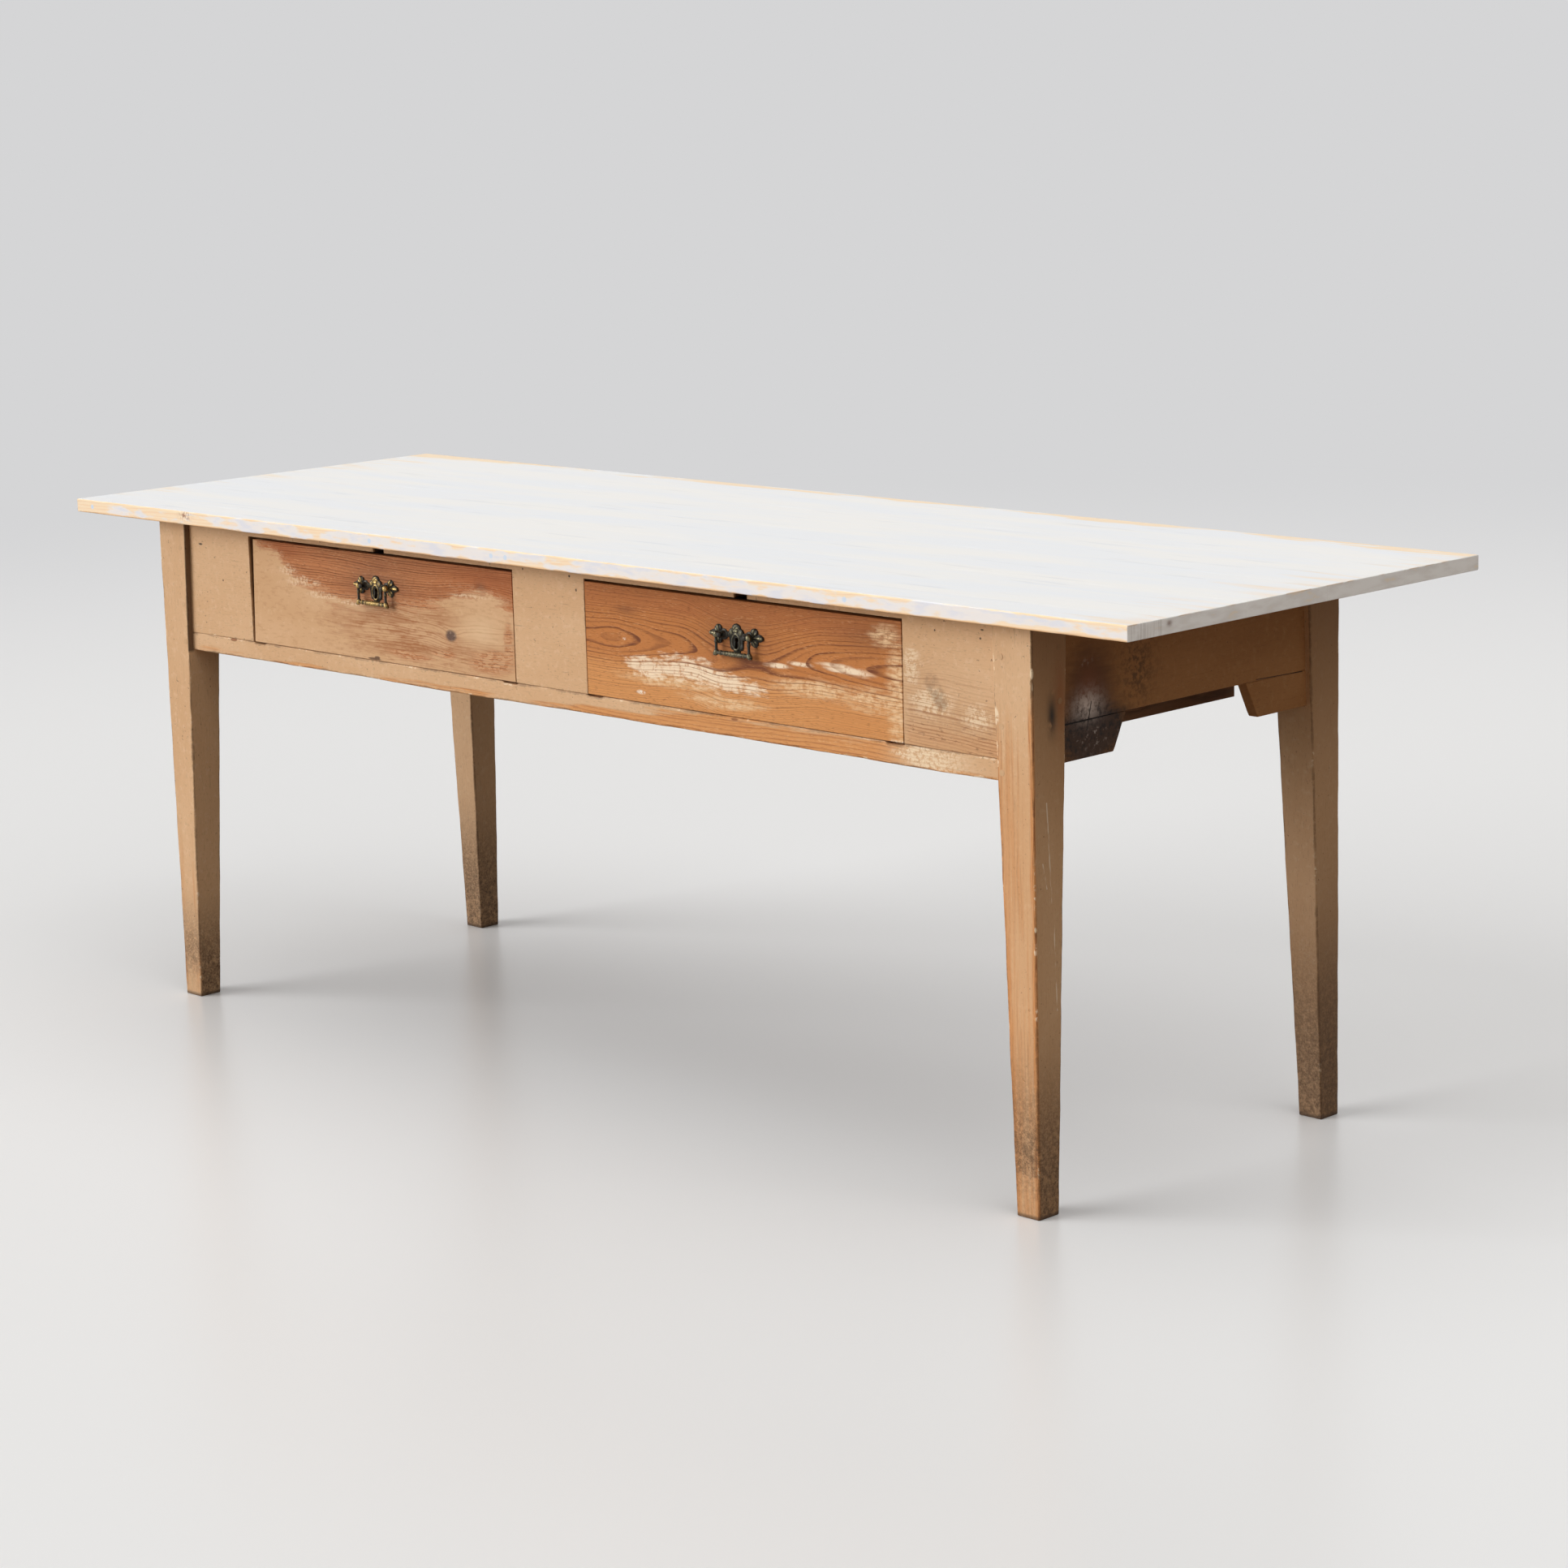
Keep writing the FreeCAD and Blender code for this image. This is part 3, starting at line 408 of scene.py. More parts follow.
def ring_lines(finish, count, seed=0.0, start=0.40):
    """Dark share of the late wood: the count's fractional part climbs from the start to 1 and drops.

    A noise along the count makes rings wider, narrower, stronger and weaker; streaks break the lines up.
    """
    turn = (count + (finish.hum(count * 0.31, seed) - 0.5) * 1.6).math("FRACT")
    line = turn.smooth(start, 0.88) * turn.smooth(1.0, 0.94)
    strength = finish.hum(count * 0.83, seed + 20.0).smooth(0.34, 0.60) * 0.65 + 0.35
    broken = finish.streaks(0.030, 0.0024, seed).smooth(0.28, 0.58) * 0.5 + 0.5
    return line * strength * broken


def pine_colour(finish, late, pale, dark, fibre):
    """Pale early wood and dark late wood, with dark pores and pale raised fibres in short dashes."""
    pore = finish.streaks(0.009, 0.0014, 51.0)
    raised = finish.streaks(0.008, 0.0014, 57.0)
    patchy = finish.streaks(0.060, 0.0120, 59.0).smooth(0.35, 0.65)
    colour = finish.blend(late * 0.85, pale, dark)
    colour = finish.blend(pore.smooth(0.56, 0.70) * 0.4, colour, dark)
    return finish.blend(raised.smooth(0.57, 0.69) * patchy * 0.45, colour, fibre)


print("pine ready")

# %% [markdown]
# ## Old paint
# The frame wears one coat of khaki-beige paint. Close up it is full of pores, specks and hairline
# scratches; its edges are nibbled dark, and here and there a chip shows the cream undercoat. Three
# helpers make the coat, its edges and its relief. What is particular to one board, such as a rubbed
# patch or a stain, is laid over it where that board is made. One flat colour would be quicker, but
# every board would look new.

# %% Painted pine
COAT = (tone(217, 178, 138), tone(209, 167, 125), tone(226, 192, 155))
PINE_PALE = tone(206, 142, 86)
PINE_DARK = tone(152, 88, 44)
PINE_FIBRE = tone(226, 180, 130)
CREAM = tone(241, 219, 186)
GRIME = tone(72, 52, 36)
MATT = {"Specular_IOR_Level": 0.2}
PAINT_ROUGHNESS = 0.6
PAINT_DEPTH = 0.5 * MM
WORN_DEPTH = 0.6 * MM


def old_paint(finish, seed, coat):
    """The plain coat: close tones in broad patches, a fine mottle, brush lines, pores and specks."""
    base, warm, pale = coat
    broad = finish.streaks(0.30, 0.10, seed + 3.0, 3.0)
    mottle = finish.grains(0.009, seed + 7.0, 4.0, 0.6)
    brush = finish.streaks(0.12, 0.0035, seed + 9.0, 3.0)
    pore = finish.streaks(0.007, 0.0015, seed + 13.0, 2.0)
    speck = finish.grains(0.0055, seed + 5.0, 3.0, 0.6)
    tick = finish.streaks(0.05, 0.0018, seed + 17.0, 2.0)
    colour = finish.blend(broad.smooth(0.3, 0.7), base, warm)
    colour = finish.blend(mottle.smooth(0.50, 0.72) * 0.45, colour, pale)
    colour = finish.blend(brush.smooth(0.48, 0.30) * 0.35, colour, warm)
    colour = finish.blend(pore.smooth(0.58, 0.70) * 0.18, colour, GRIME)
    colour = finish.blend(tick.smooth(0.66, 0.76) * 0.30, colour, GRIME)
    return finish.blend(speck.smooth(0.68, 0.73) * 0.6, colour, GRIME)


def aged(finish, colour, seed, rim=0.5):
    """Adds dark, nibbled edges and, in places along them, chips that show the cream undercoat."""
    nibble = finish.grains(0.008, seed + 40.0, 3.0, 0.65)
    where = finish.grains(0.060, seed + 44.0, 2.0)
    edge = finish.mark("edge")
    dirty = (edge + (nibble - 0.5) * 0.6).smooth(0.86, 1.02) * where.smooth(0.64, 0.42)
    chipped = (edge * 0.6 + nibble * 0.7).smooth(0.95, 1.02) * where.smooth(0.56, 0.64)
    colour = finish.blend(dirty * rim, colour, GRIME)
    return finish.blend(chipped * 0.7, colour, CREAM)


def paint_relief(finish, seed, bare=None, late=None):
    """Brush lines; where wood is bare, also the step down from the paint and the raised late wood."""
    brush = finish.streaks(0.10, 0.0030, seed + 9.0, 3.0) * 0.35
    if bare is None:
        return brush
    return (1.0 - bare) * 0.35 + brush + late * bare * 0.3


print("paint ready")

# %% [markdown]
# ## Boards with worn corners
# Every straight board is one rounded rectangle carried along its length. The radius of each corner and
# the lie of each side change a little from station to station, which gives planed wood its soft, uneven
# edge. The mesh also stores how close each point is to an edge, so that the paint can wear off there. A
# cube with a Bevel modifier would have the same radius all over.

# %% Meshes from arrays
def ripple(place, seed, length):
    """Smooth values from -1 to 1: three sines of unrelated lengths, with phases set by the seed."""
    rates = np.array([1.0, 1.93, 3.71]) / length
    phases = np.array([1.0, 2.3, 4.1]) * (seed + 1.0)
    return np.sin(2 * np.pi * np.multiply.outer(place, rates) + phases) @ np.array([0.5, 0.3, 0.2])


def lay_mesh(name, points, faces, material, **marks):
    """Puts computed points and faces into a smooth-shaded mesh object; marks are values at its points."""
    mesh = bpy.data.meshes.new(name)
    mesh.from_pydata(np.reshape(points, (-1, 3)).tolist(), [], faces)
    for mark, values in marks.items():
        layer = mesh.attributes.new(mark, "FLOAT", "POINT")
        layer.data.foreach_set("value", np.ravel(values).astype(np.float32))
    mesh.materials.append(material)
    work = bmesh.new()
    work.from_mesh(mesh)
    bmesh.ops.recalc_face_normals(work, faces=work.faces)
    work.to_mesh(mesh)
    work.free()
    mesh.shade_smooth()
    piece = bpy.data.objects.new(name, mesh)
    bpy.context.scene.collection.objects.link(piece)
    return piece


def tube_faces(rows, columns):
    """Quads between neighbouring rows of a closed tube, and one face over each end."""
    index = np.arange(rows * columns).reshape(rows, columns)
    turned = np.roll(index, -1, axis=1)
    quads = np.stack([index[:-1], turned[:-1], turned[1:], index[1:]], axis=-1)
    return quads.reshape(-1, 4).tolist() + [index[0, ::-1].tolist(), index[-1].tolist()]


print("mesh tools ready")

# %% [markdown]
# The profile has few points where a side is flat and more near its corners, where the light changes.
# All stations are worked out at once: arrays with one row for each station and one column for each
# point of the profile.

# %% A rounded profile carried along
ARC = np.radians([0.0, 30.0, 60.0, 90.0])
FLAT_SHARES = np.array([0.015, 0.06, 0.15, 0.32, 0.5, 0.68, 0.85, 0.94, 0.985])


def carry_profile(stations, sides, corners, end_radius):
    """A rounded rectangle at each station, as (station, point, [across, up, along]), and edge distances.

    Each corner is a quarter circle about a centre one radius in from both sides, with straight flats
    between them. The first and last stations are drawn in along a quarter circle, which rounds the ends.
    """
    drawn_in = end_radius * (1 - np.cos(ARC[:0:-1]))
    step_in = end_radius * (1 - np.sin(ARC[:0:-1]))
    places = np.concatenate([stations[0] + step_in, stations, stations[-1] - step_in[::-1]])
    places[len(step_in)] += end_radius
    places[-len(step_in) - 1] -= end_radius
    extra = np.zeros(len(step_in), int)
    pick = np.concatenate([extra, np.arange(len(stations)), extra + len(stations) - 1])
    inset = np.concatenate([drawn_in, np.zeros(len(stations)), drawn_in[::-1]])[:, None]
    low_a, high_a, low_b, high_b = [sides[pick, side][:, None] for side in range(4)]
    radius = corners[pick]
    sign_a = np.array([1, -1, -1, 1])
    sign_b = np.array([1, 1, -1, -1])
    middle_a = np.where(sign_a > 0, high_a - inset - radius, low_a + inset + radius)
    middle_b = np.where(sign_b > 0, high_b - inset - radius, low_b + inset + radius)
    angle = np.arange(4)[:, None] * np.pi / 2 + ARC
    arcs = np.stack([
        middle_a[..., None] + radius[..., None] * np.cos(angle),
        middle_b[..., None] + radius[..., None] * np.sin(angle),
    ], axis=-1)
    start, end = arcs[:, :, -1:], np.roll(arcs[:, :, :1], -1, axis=1)
    flats = start + (end - start) * FLAT_SHARES[:, None]
    from_corner = np.minimum(FLAT_SHARES, 1 - FLAT_SHARES) * np.linalg.norm(end - start, axis=-1)
    outline = np.concatenate([arcs, flats], axis=2)
    distance = np.concatenate([np.zeros(arcs.shape[:3]), from_corner], axis=2)
    rows = len(places)
    outline = outline.reshape(rows, -1, 2)
    distance = distance.reshape(rows, -1)
    from_end = np.minimum(places - places[0], places[-1] - places)[:, None]
    along = np.broadcast_to(places[:, None, None], (*outline.shape[:2], 1))
    return np.concatenate([outline, along], axis=-1), np.minimum(distance, from_end)


print("points in a profile:", 4 * (len(ARC) + len(FLAT_SHARES)))

# %% A worn board
EDGE_REACH = 7 * MM
CROSS_AXES = {0: (1, 2), 1: (2, 0), 2: (0, 1)}


def worn_board(name, low, high, axis, material, radius=1.6, wear=0.5, end_radius=1.5, pitch=12.0,
               slack=0.3, trim=None):
    """A board that fills the box from low to high, along one axis; radii, pitch and slack in millimetres.

    wear is the share by which the corners' radii vary, and slack is how far the sides wander.
    trim(stations) gives how far each side is set in from the box: low and high across, low and high up.
    """
    low, high = np.array(low), np.array(high)
    first, second = CROSS_AXES[axis]
    seed = sum(map(ord, name)) % 97
    count = max(4, int((high[axis] - low[axis]) / (pitch * MM)))
    stations = np.linspace(low[axis], high[axis], count)
    sides = np.array([low[first], high[first], low[second], high[second]])[None].repeat(count, axis=0)
    signs = np.array([1, -1, 1, -1])
    if trim is not None:
        sides = sides + signs * trim(stations)
    thin = min((high - low)[[first, second]])
    lie = np.stack([ripple(stations, seed + side, 0.4) for side in range(4)], axis=1)
    sides = sides + signs * (lie + 1) * min(slack * MM, thin * 0.01)
    rubbed = np.stack([ripple(stations, seed + 10 + corner, 0.11) for corner in range(4)], axis=1)
    corners = np.clip(radius * MM * (1 + wear * rubbed), 0.15 * MM, thin * 0.3)
    points, distance = carry_profile(stations, sides, corners, end_radius * MM)
    placed = np.empty_like(points)
    placed[..., [first, second, axis]] = points
    closeness = np.exp(-distance / EDGE_REACH)
    piece = lay_mesh(name, placed, tube_faces(*distance.shape), material, edge=closeness)
    piece.modifiers.new("even_normals", "WEIGHTED_NORMAL")
    return piece


def dress(piece, body, slot, *replaced):
    """Makes a piece ride on a body and hides the solids that it stands for; slot is not used."""
    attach(piece, body)
    if replaced:
        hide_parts(*replaced)
    return piece


print("board tools ready")

# %% [markdown]
# ## Legs
# The legs taper on their two inner faces only. The front right one has lost paint along its edges,
# where veins of orange wood show, and its end face carries a black spot and a long pale scratch. All
# four are dirty at the foot: splashes of mud and floor wax, darkest a hand above the ground, with a
# paler rim that brooms keep rubbing. One finish serves all four: a mark is tied to its place on the
# table, so each leg shows only its own. FRONT is the plane of the front board, in millimetres.

# %% The legs' paint and bare wood
FRONT = -313
FOOT_SHARE = 38 / 66
leg_low, leg_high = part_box("leg_front_right")
leg_taper = (leg_high.x - leg_low.x) * (1 - FOOT_SHARE)
leg_slope = leg_taper / leg_high.z

finish = Finish("painted_leg", "zxy")
x, y, z = finish.place.values()
late = ring_lines(finish, pith_count(finish, (200.0, 260.0), 4.0, 0.02, 2.0), 2.0)
wood = pine_colour(finish, late, PINE_PALE, PINE_DARK, PINE_FIBRE)
paint = old_paint(finish, 2.0, COAT)
# Painted shade on the legs' outer end faces: darker all over and most under the top's overhang; the extra
# darkening towards the foot is dirt.
outer_end = x.smooth(leg_high.x - 3.0 * MM, leg_high.x - 1.0 * MM)
painted_shade_and_dirt = z.smooth(0.45, 0.70) * 0.34 + z.smooth(0.30, 0.12) * 0.15 + 0.36
paint = finish.blend(outer_end * painted_shade_and_dirt, paint, tone(140, 98, 58))

front_face = y.smooth(leg_low.y + 5 * MM, leg_low.y + 1 * MM)
on_front = front_face * x.smooth(0.5, 0.6)
vein = (finish.streaks(0.10, 0.007, 8.0, 3.0) - 0.5) * 0.016
from_left = x - leg_low.x - (leg_high.z - z) * leg_slope + vein
from_right = leg_high.x - x + vein
left_vein = from_left.smooth(0.009, 0.004) * z.smooth(0.64, 0.57)
right_vein = from_right.smooth(0.008, 0.003) * z.smooth(0.68, 0.62)
low_wear = z.smooth(0.46, 0.18) * (vein * 60 + 0.5).smooth(0.45, 0.75) * 0.75
run = finish.streaks(0.20, 0.006, 14.0, 3.0) + (0.03 - from_left) * 5.0
run = run.smooth(0.44, 0.66) * z.smooth(0.67, 0.58) * 0.55
bare = left_vein.top(right_vein).top(low_wear).top(run) * on_front
bare = bare.top(low_wear * front_face * z.smooth(0.32, 0.12))
paint = finish.blend(on_front * z.smooth(0.66, 0.50) * 0.3, paint, tone(204, 146, 92))
colour = finish.blend(bare * 0.85, paint, wood)
colour = aged(finish, colour, 2.0, rim=0.45)
print("taper of a leg:", round(leg_taper / MM), "mm")

# %% The legs' chips, scratches and burn
flake = finish.grains(0.012, 3.0, 3.0, 0.6).smooth(0.40, 0.52)
chips = finish.blots(
    ((824, -322, 632), (6, 6, 11)), ((883, -322, 690), (2.2, 3, 6)), ((884, -322, 671), (1.8, 2.4, 13)),
    ((884, -322, 372), (2.2, 3, 4)), seed=20.0, ragged=0.6,
)
colour = finish.blend(chips * flake * 0.9, colour, CREAM)
scrape = finish.stroke("yz", (-298, 527), (-290, 400), 1.0)
for start, end in (((-287, 372), (-283, 263)), ((-306, 452), (-299, 420))):
    scrape = scrape.top(finish.stroke("yz", start, end, 0.9))
scrape = scrape * finish.streaks(0.02, 0.003, 4.0, 3.0).smooth(0.42, 0.56)
colour = finish.blend(scrape * outer_end * 0.8, colour, tone(226, 208, 184))
glow = finish.bell((884, -270, 652), (20, 11, 48)) * outer_end
colour = finish.blend(glow * 0.6, colour, tone(148, 84, 40))
burnt = finish.grains(0.012, 9.0, 3.0, 0.6).smooth(0.26, 0.48)
soot = finish.bell((884, -286, 634), (None, 8, 23)) * burnt
colour = finish.blend(soot * outer_end * 0.95, colour, tone(34, 26, 22))
print("leg marks:", len(finish.tree.nodes), "nodes so far")

# %% The legs' dirt and painted shade
LEFT_LEG_INNER = -824 * MM
RAIL_UNDERSIDE = 548 * MM

# Painted shade: both back legs are darker all over because they stand in the table's shade; the back right
# one is darker still towards the foot, as dirt.
at_back = y.smooth(0.0, 0.1)
shade_and_foot_dirt = z.smooth(0.45, 0.12) * x.smooth(0.2, 0.4) * 0.30 + 0.24
colour = finish.blend(at_back * shade_and_foot_dirt, colour, tone(92, 64, 40))
splash = finish.grains(0.007, 12.0, 5.0, 0.8)
spatter = finish.grains(0.003, 14.0, 4.0, 0.75)
muddy_top = x.smooth(-0.2, 0.2) * 0.06 + at_back * 0.06 + 0.17
broomed = y.smooth(leg_low.y + 3 * MM, leg_low.y + 1.2 * MM)
swept = (z + (splash - 0.5) * 0.06).smooth(0.085, 0.020) * broomed
specks = splash.smooth(0.34, 0.60) * 0.50 + spatter.smooth(0.38, 0.60) * 0.35 + 0.15
mud = ((z + (splash - 0.5) * 0.08) / muddy_top).smooth(1.15, 0.25) * specks
colour = finish.blend(mud * (1.0 - swept * 0.75) * 0.92, colour, tone(76, 55, 38))
colour = finish.blend(z.smooth(0.007, 0.002) * 0.7, colour, tone(60, 46, 36))
# Painted shade: the strip of the front left leg's inner face that stands proud of the front board, above
# the rail's underside, is made dark brown.
painted_shade_step = (x - LEFT_LEG_INNER + (leg_high.z - z) * leg_slope).smooth(-3 * MM, -1 * MM)
painted_shade_step = painted_shade_step * x.smooth(-0.80, -0.82) * y.smooth((FRONT + 3) * MM, (FRONT - 1) * MM)
painted_shade_step = painted_shade_step * z.smooth(RAIL_UNDERSIDE - 4 * MM, RAIL_UNDERSIDE + 2 * MM)
colour = finish.blend(painted_shade_step * 0.8, colour, tone(62, 42, 26))
relief = paint_relief(finish, 2.0, bare, late)
leg_finish = finish.done(colour, PAINT_ROUGHNESS, relief, WORN_DEPTH, **MATT)

# %% Legs
for depth in ("front", "back"):
    for side in ("left", "right"):
        name = f"leg_{depth}_{side}"
        low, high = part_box(name)
        inner = (side == "right", side == "left", depth == "back", depth == "front")

        def taper(stations):
            """None on the outer faces; on the inner ones all of it at the floor and none at the top."""
            share = 1 - (stations - low.z) / (high.z - low.z)
            return np.multiply.outer(share * leg_taper, np.array(inner, float))

        leg = worn_board("worn_" + name, low, high, 2, leg_finish, radius=1.8, end_radius=1.2, trim=taper)
        dress(leg, "frame", "painted_pine", name)
print("legs ready, the last one:", leg.name)

# %% [markdown]
# ## Frame
# The lower rail is worn hollow where the drawers' sides ride over it, and its lower edge is no longer
# straight. Knees have rubbed its right half down to orange wood, and cream undercoat shows at its right
# end. The rail and the boards at the ends and back run on into the legs, as their tenons do. A function
# of the place along the rail sets its sides in, which makes the hollows and the wavy edge without any
# cutting.

# %% The rail's finish
finish = Finish("painted_rail", "xzy")
x, y, z = finish.place.values()
late = ring_lines(finish, pith_count(finish, (500.0, -290.0), 4.0, 0.01, 11.0), 11.0)
wood = pine_colour(finish, late, tone(212, 146, 84), tone(158, 90, 44), PINE_FIBRE)
paint = old_paint(finish, 11.0, COAT)
smear = finish.streaks(0.12, 0.010, 12.0, 4.0)
height = z + (smear - 0.5) * 0.040
rub_start = RAIL_UNDERSIDE + 4 * MM
rubbed_to = x.smooth(-0.05, 0.40) * 0.024 + rub_start
bare = (height - rubbed_to).smooth(0.004, -0.004) * x.smooth(-0.75, -0.10) * x.smooth(0.70, 0.60)
low_edge = (height - rub_start).smooth(0.003, -0.003) * 0.7
bare = bare.top(low_edge)
colour = finish.blend(bare * 0.9, paint, wood)
colour = aged(finish, colour, 11.0, rim=0.45)
flake = finish.grains(0.006, 13.0, 4.0, 0.65).smooth(0.42, 0.54) * (1.0 - late * 0.7)
cream = finish.blots(
    ((735, FRONT, 563), (84, 40, 13)), ((690, FRONT, 566), (40, 40, 10)), ragged=0.5, seed=14.0,
)
colour = finish.blend(cream * flake * x.smooth(0.80, 0.70) * 0.85, colour, CREAM)
chips = finish.blots(
    ((-728, FRONT, 575), (7, 30, 2.2)), ((355, FRONT, 574), (9, 30, 2.2)), ragged=0.9, seed=17.0,
)
colour = finish.blend(chips * 0.85, colour, tone(140, 86, 48))
relief = paint_relief(finish, 11.0, bare, late)
rail_finish = finish.done(colour, PAINT_ROUGHNESS, relief, WORN_DEPTH, **MATT)

# %% Lower rail
NOTCH_WIDTH = 29 * MM
NOTCH_DEPTH = 2.5 * MM
left_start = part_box("guide_left")[1].x
left_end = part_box("guide_middle")[0].x
right_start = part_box("guide_middle")[1].x
right_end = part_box("guide_right")[0].x
rail_low, rail_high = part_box("front_rail")


def rail_trim(stations):
    """The lower edge wanders; the upper edge dips for a notch under each drawer side."""
    set_in = np.zeros((len(stations), 4))
    set_in[:, 2] = (1.4 + ripple(stations, 5.0, 0.9)) * MM
    for corner, turn in ((left_start, 1), (left_end, -1), (right_start, 1), (right_end, -1)):
        middle = corner + turn * NOTCH_WIDTH / 2
        inside = np.abs(stations - middle) < NOTCH_WIDTH / 2
        set_in[:, 3] = np.where(inside, NOTCH_DEPTH, set_in[:, 3])
    return set_in


rail = worn_board("worn_front_rail", rail_low, rail_high, 0, rail_finish, radius=1.8, wear=0.6, pitch=5.0,
                  trim=rail_trim)
dress(rail, "frame", "painted_pine", "front_rail")
print("rail:", len(rail.data.vertices), "points")

# %% [markdown]
# The two end boards and the back are plain. Only the right-hand end is seen in the photograph. Its coat
# is a darker brown than the front's, partly because it has never been bleached by light and partly as
# painted shade for the top's overhang above it. Something hot once scorched its front bracket: a dark
# ring, red-brown inside, with a pale painted sheen on its rubbed middle, and a crack through the charred
# wood. A burn has a soft outside and a hard core, so it is laid on in layers of different softness. END
# is the plane of the end boards, in millimetres.

# %% The end boards' finish
# The ends' coat is darker than the front's, partly as painted shade for the top's overhang.
SHADED_END_COAT = (tone(160, 112, 68), tone(146, 99, 56), tone(172, 126, 82))
PAINTED_SHEEN = tone(226, 212, 204)
END = 875
END_ROUGHNESS = 0.7

finish = Finish("painted_end", "yzx")
x, y, z = finish.place.values()
colour = old_paint(finish, 23.0, SHADED_END_COAT)
speckle = finish.grains(0.008, 24.0, 4.0, 0.7)
at_end = x.smooth(0.6, 0.8)
grime = finish.bell((END, -114, 668), (None, 36, 55)) * speckle.smooth(0.42, 0.62)
colour = finish.blend(grime * 0.75 * at_end, colour, tone(70, 46, 24))
halo = finish.blot((END, -206, 650), (60, 44, 60), ragged=0.3, soft=0.55, seed=25.0) * at_end
colour = finish.blend(halo * 0.8, colour, tone(72, 40, 20))
inside = finish.bell((END, -206, 652), (None, 24, 36)) * at_end
colour = finish.blend(inside * 0.6, colour, tone(128, 74, 44))
char = finish.blot((END, -200, 598), (60, 72, 38), ragged=0.25, soft=0.35, seed=27.0) * at_end
colour = finish.blend(char * 0.94, colour, tone(60, 44, 36))
colour = finish.blend(char * speckle.smooth(0.50, 0.36) * 0.8, colour, tone(26, 20, 18))
# Painted sheen: the rubbed, glossy middle of the burn is made pale grey.
rub = finish.bell((END, -209, 634), (None, 25, 18)) * (speckle.smooth(0.34, 0.60) * 0.75 + 0.25)
rub = rub.top(finish.bell((END, -210, 688), (None, 16, 5)) * speckle.smooth(0.48, 0.66) * 0.25)
rub = rub.top(finish.bell((END, -200, 596), (None, 34, 16)) * speckle.smooth(0.57, 0.66) * 0.55)
colour = finish.blend(rub * 0.9 * at_end, colour, PAINTED_SHEEN)
crack = finish.stroke("yz", (-202, 638), (-211, 604), 0.9)
crack = crack.top(finish.stroke("yz", (-252, 616), (-158, 617), 0.8))
crack = crack.top(finish.stroke("yz", (125, 619), (222, 616), 0.6))
colour = finish.blend(crack * at_end * 0.9, colour, tone(22, 16, 13))
end_finish = finish.done(colour, END_ROUGHNESS, paint_relief(finish, 23.0), PAINT_DEPTH, **MATT)

# %% End boards, back board and brackets
for side in ("left", "right"):
    name = f"end_apron_{side}"
    board = worn_board("worn_" + name, *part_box(name), 1, end_finish, radius=0.8)
    dress(board, "frame", "painted_pine", name)

BACK_COAT = (tone(186, 142, 98), tone(174, 129, 86), tone(198, 156, 114))
finish = Finish("painted_back", "xzy")
colour = aged(finish, old_paint(finish, 31.0, BACK_COAT), 31.0)
back_finish = finish.done(colour, PAINT_ROUGHNESS, paint_relief(finish, 31.0), PAINT_DEPTH, **MATT)
back = worn_board("worn_back_apron", *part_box("back_apron"), 0, back_finish, radius=1.5)
dress(back, "frame", "painted_pine", "back_apron")

BRACKET_SLOPE = 24 * MM
INTO_LEG = 8 * MM
for side in ("left", "right"):
    for depth in ("front", "back"):
        name = f"bracket_{side}_{depth}"
        low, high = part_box(name)
        reach = INTO_LEG if depth == "back" else -INTO_LEG
        free = (0, 0, 0, 1) if depth == "front" else (0, 0, 1, 0)

        def bracket_trim(stations):
            """The free side slopes back towards the leg as it goes down."""
            share = 1 - (stations - low.z) / (high.z - low.z)
            return np.multiply.outer(share * BRACKET_SLOPE, np.array(free, float))

        low_y = low.y + min(reach, 0)
        high_y = high.y + max(reach, 0)
        board = worn_board("worn_" + name, (low.x, low_y, low.z), (high.x, high_y, high.z), 2, end_finish,
                           radius=0.8, pitch=5.0, trim=bracket_trim)
        dress(board, "frame", "painted_pine", name)
print("ends, back and brackets ready")

# %% [markdown]
# The front board's paint is whole on the left and in the middle. On its right panel it has worn thin:
# brown grain lines show through the lower half, cream undercoat lies in patches, and there is a
# slanting smudge. Old nails leave dark dots. All of it lies as thin layers over the one coat, so the
# panel keeps the colour of its neighbours.

# %% The front board's finish
PANEL_RING = 4.2 * MM

finish = Finish("painted_front", "xzy")
x, y, z = finish.place.values()
swirl = finish.bell((672, FRONT, 690), (34, None, 26)) * 5.0
wave = (finish.streaks(0.16, 0.05, 41.0) - 0.5) * 0.010
count = (z + wave + x * 0.06) / PANEL_RING + swirl
late = ring_lines(finish, count, 41.0)
wood = pine_colour(finish, late, tone(204, 148, 98), tone(150, 94, 54), PINE_FIBRE)
paint = old_paint(finish, 41.0, COAT)
smear = finish.streaks(0.10, 0.012, 42.0, 4.0)
on_right = x.smooth(0.655, 0.675)
worn_to = (z + (smear - 0.5) * 0.08 + x * 0.25).smooth(0.885, 0.800) * on_right
colour = finish.blend(worn_to * (late * 0.6 + 0.10), paint, tone(150, 96, 58))
bare = (z + (smear - 0.5) * 0.03).smooth(0.612, 0.590) * on_right
colour = finish.blend(bare * 0.35, colour, wood)
low_specks = finish.streaks(0.010, 0.004, 43.0, 3.0).smooth(0.58, 0.66)
colour = finish.blend(low_specks * z.smooth(0.64, 0.585) * on_right * 0.45, colour, tone(110, 70, 44))
flake = finish.grains(0.006, 44.0, 4.0, 0.65).smooth(0.42, 0.55)
cream = finish.blots(
    ((786, FRONT, 622), (24, 40, 15)), ((708, FRONT, 636), (34, 40, 16)), ((676, FRONT, 680), (14, 40, 20)),
    ragged=0.8, soft=0.5, seed=45.0,
)
colour = finish.blend(cream * flake * (1.0 - late * 0.8) * 0.7, colour, CREAM)
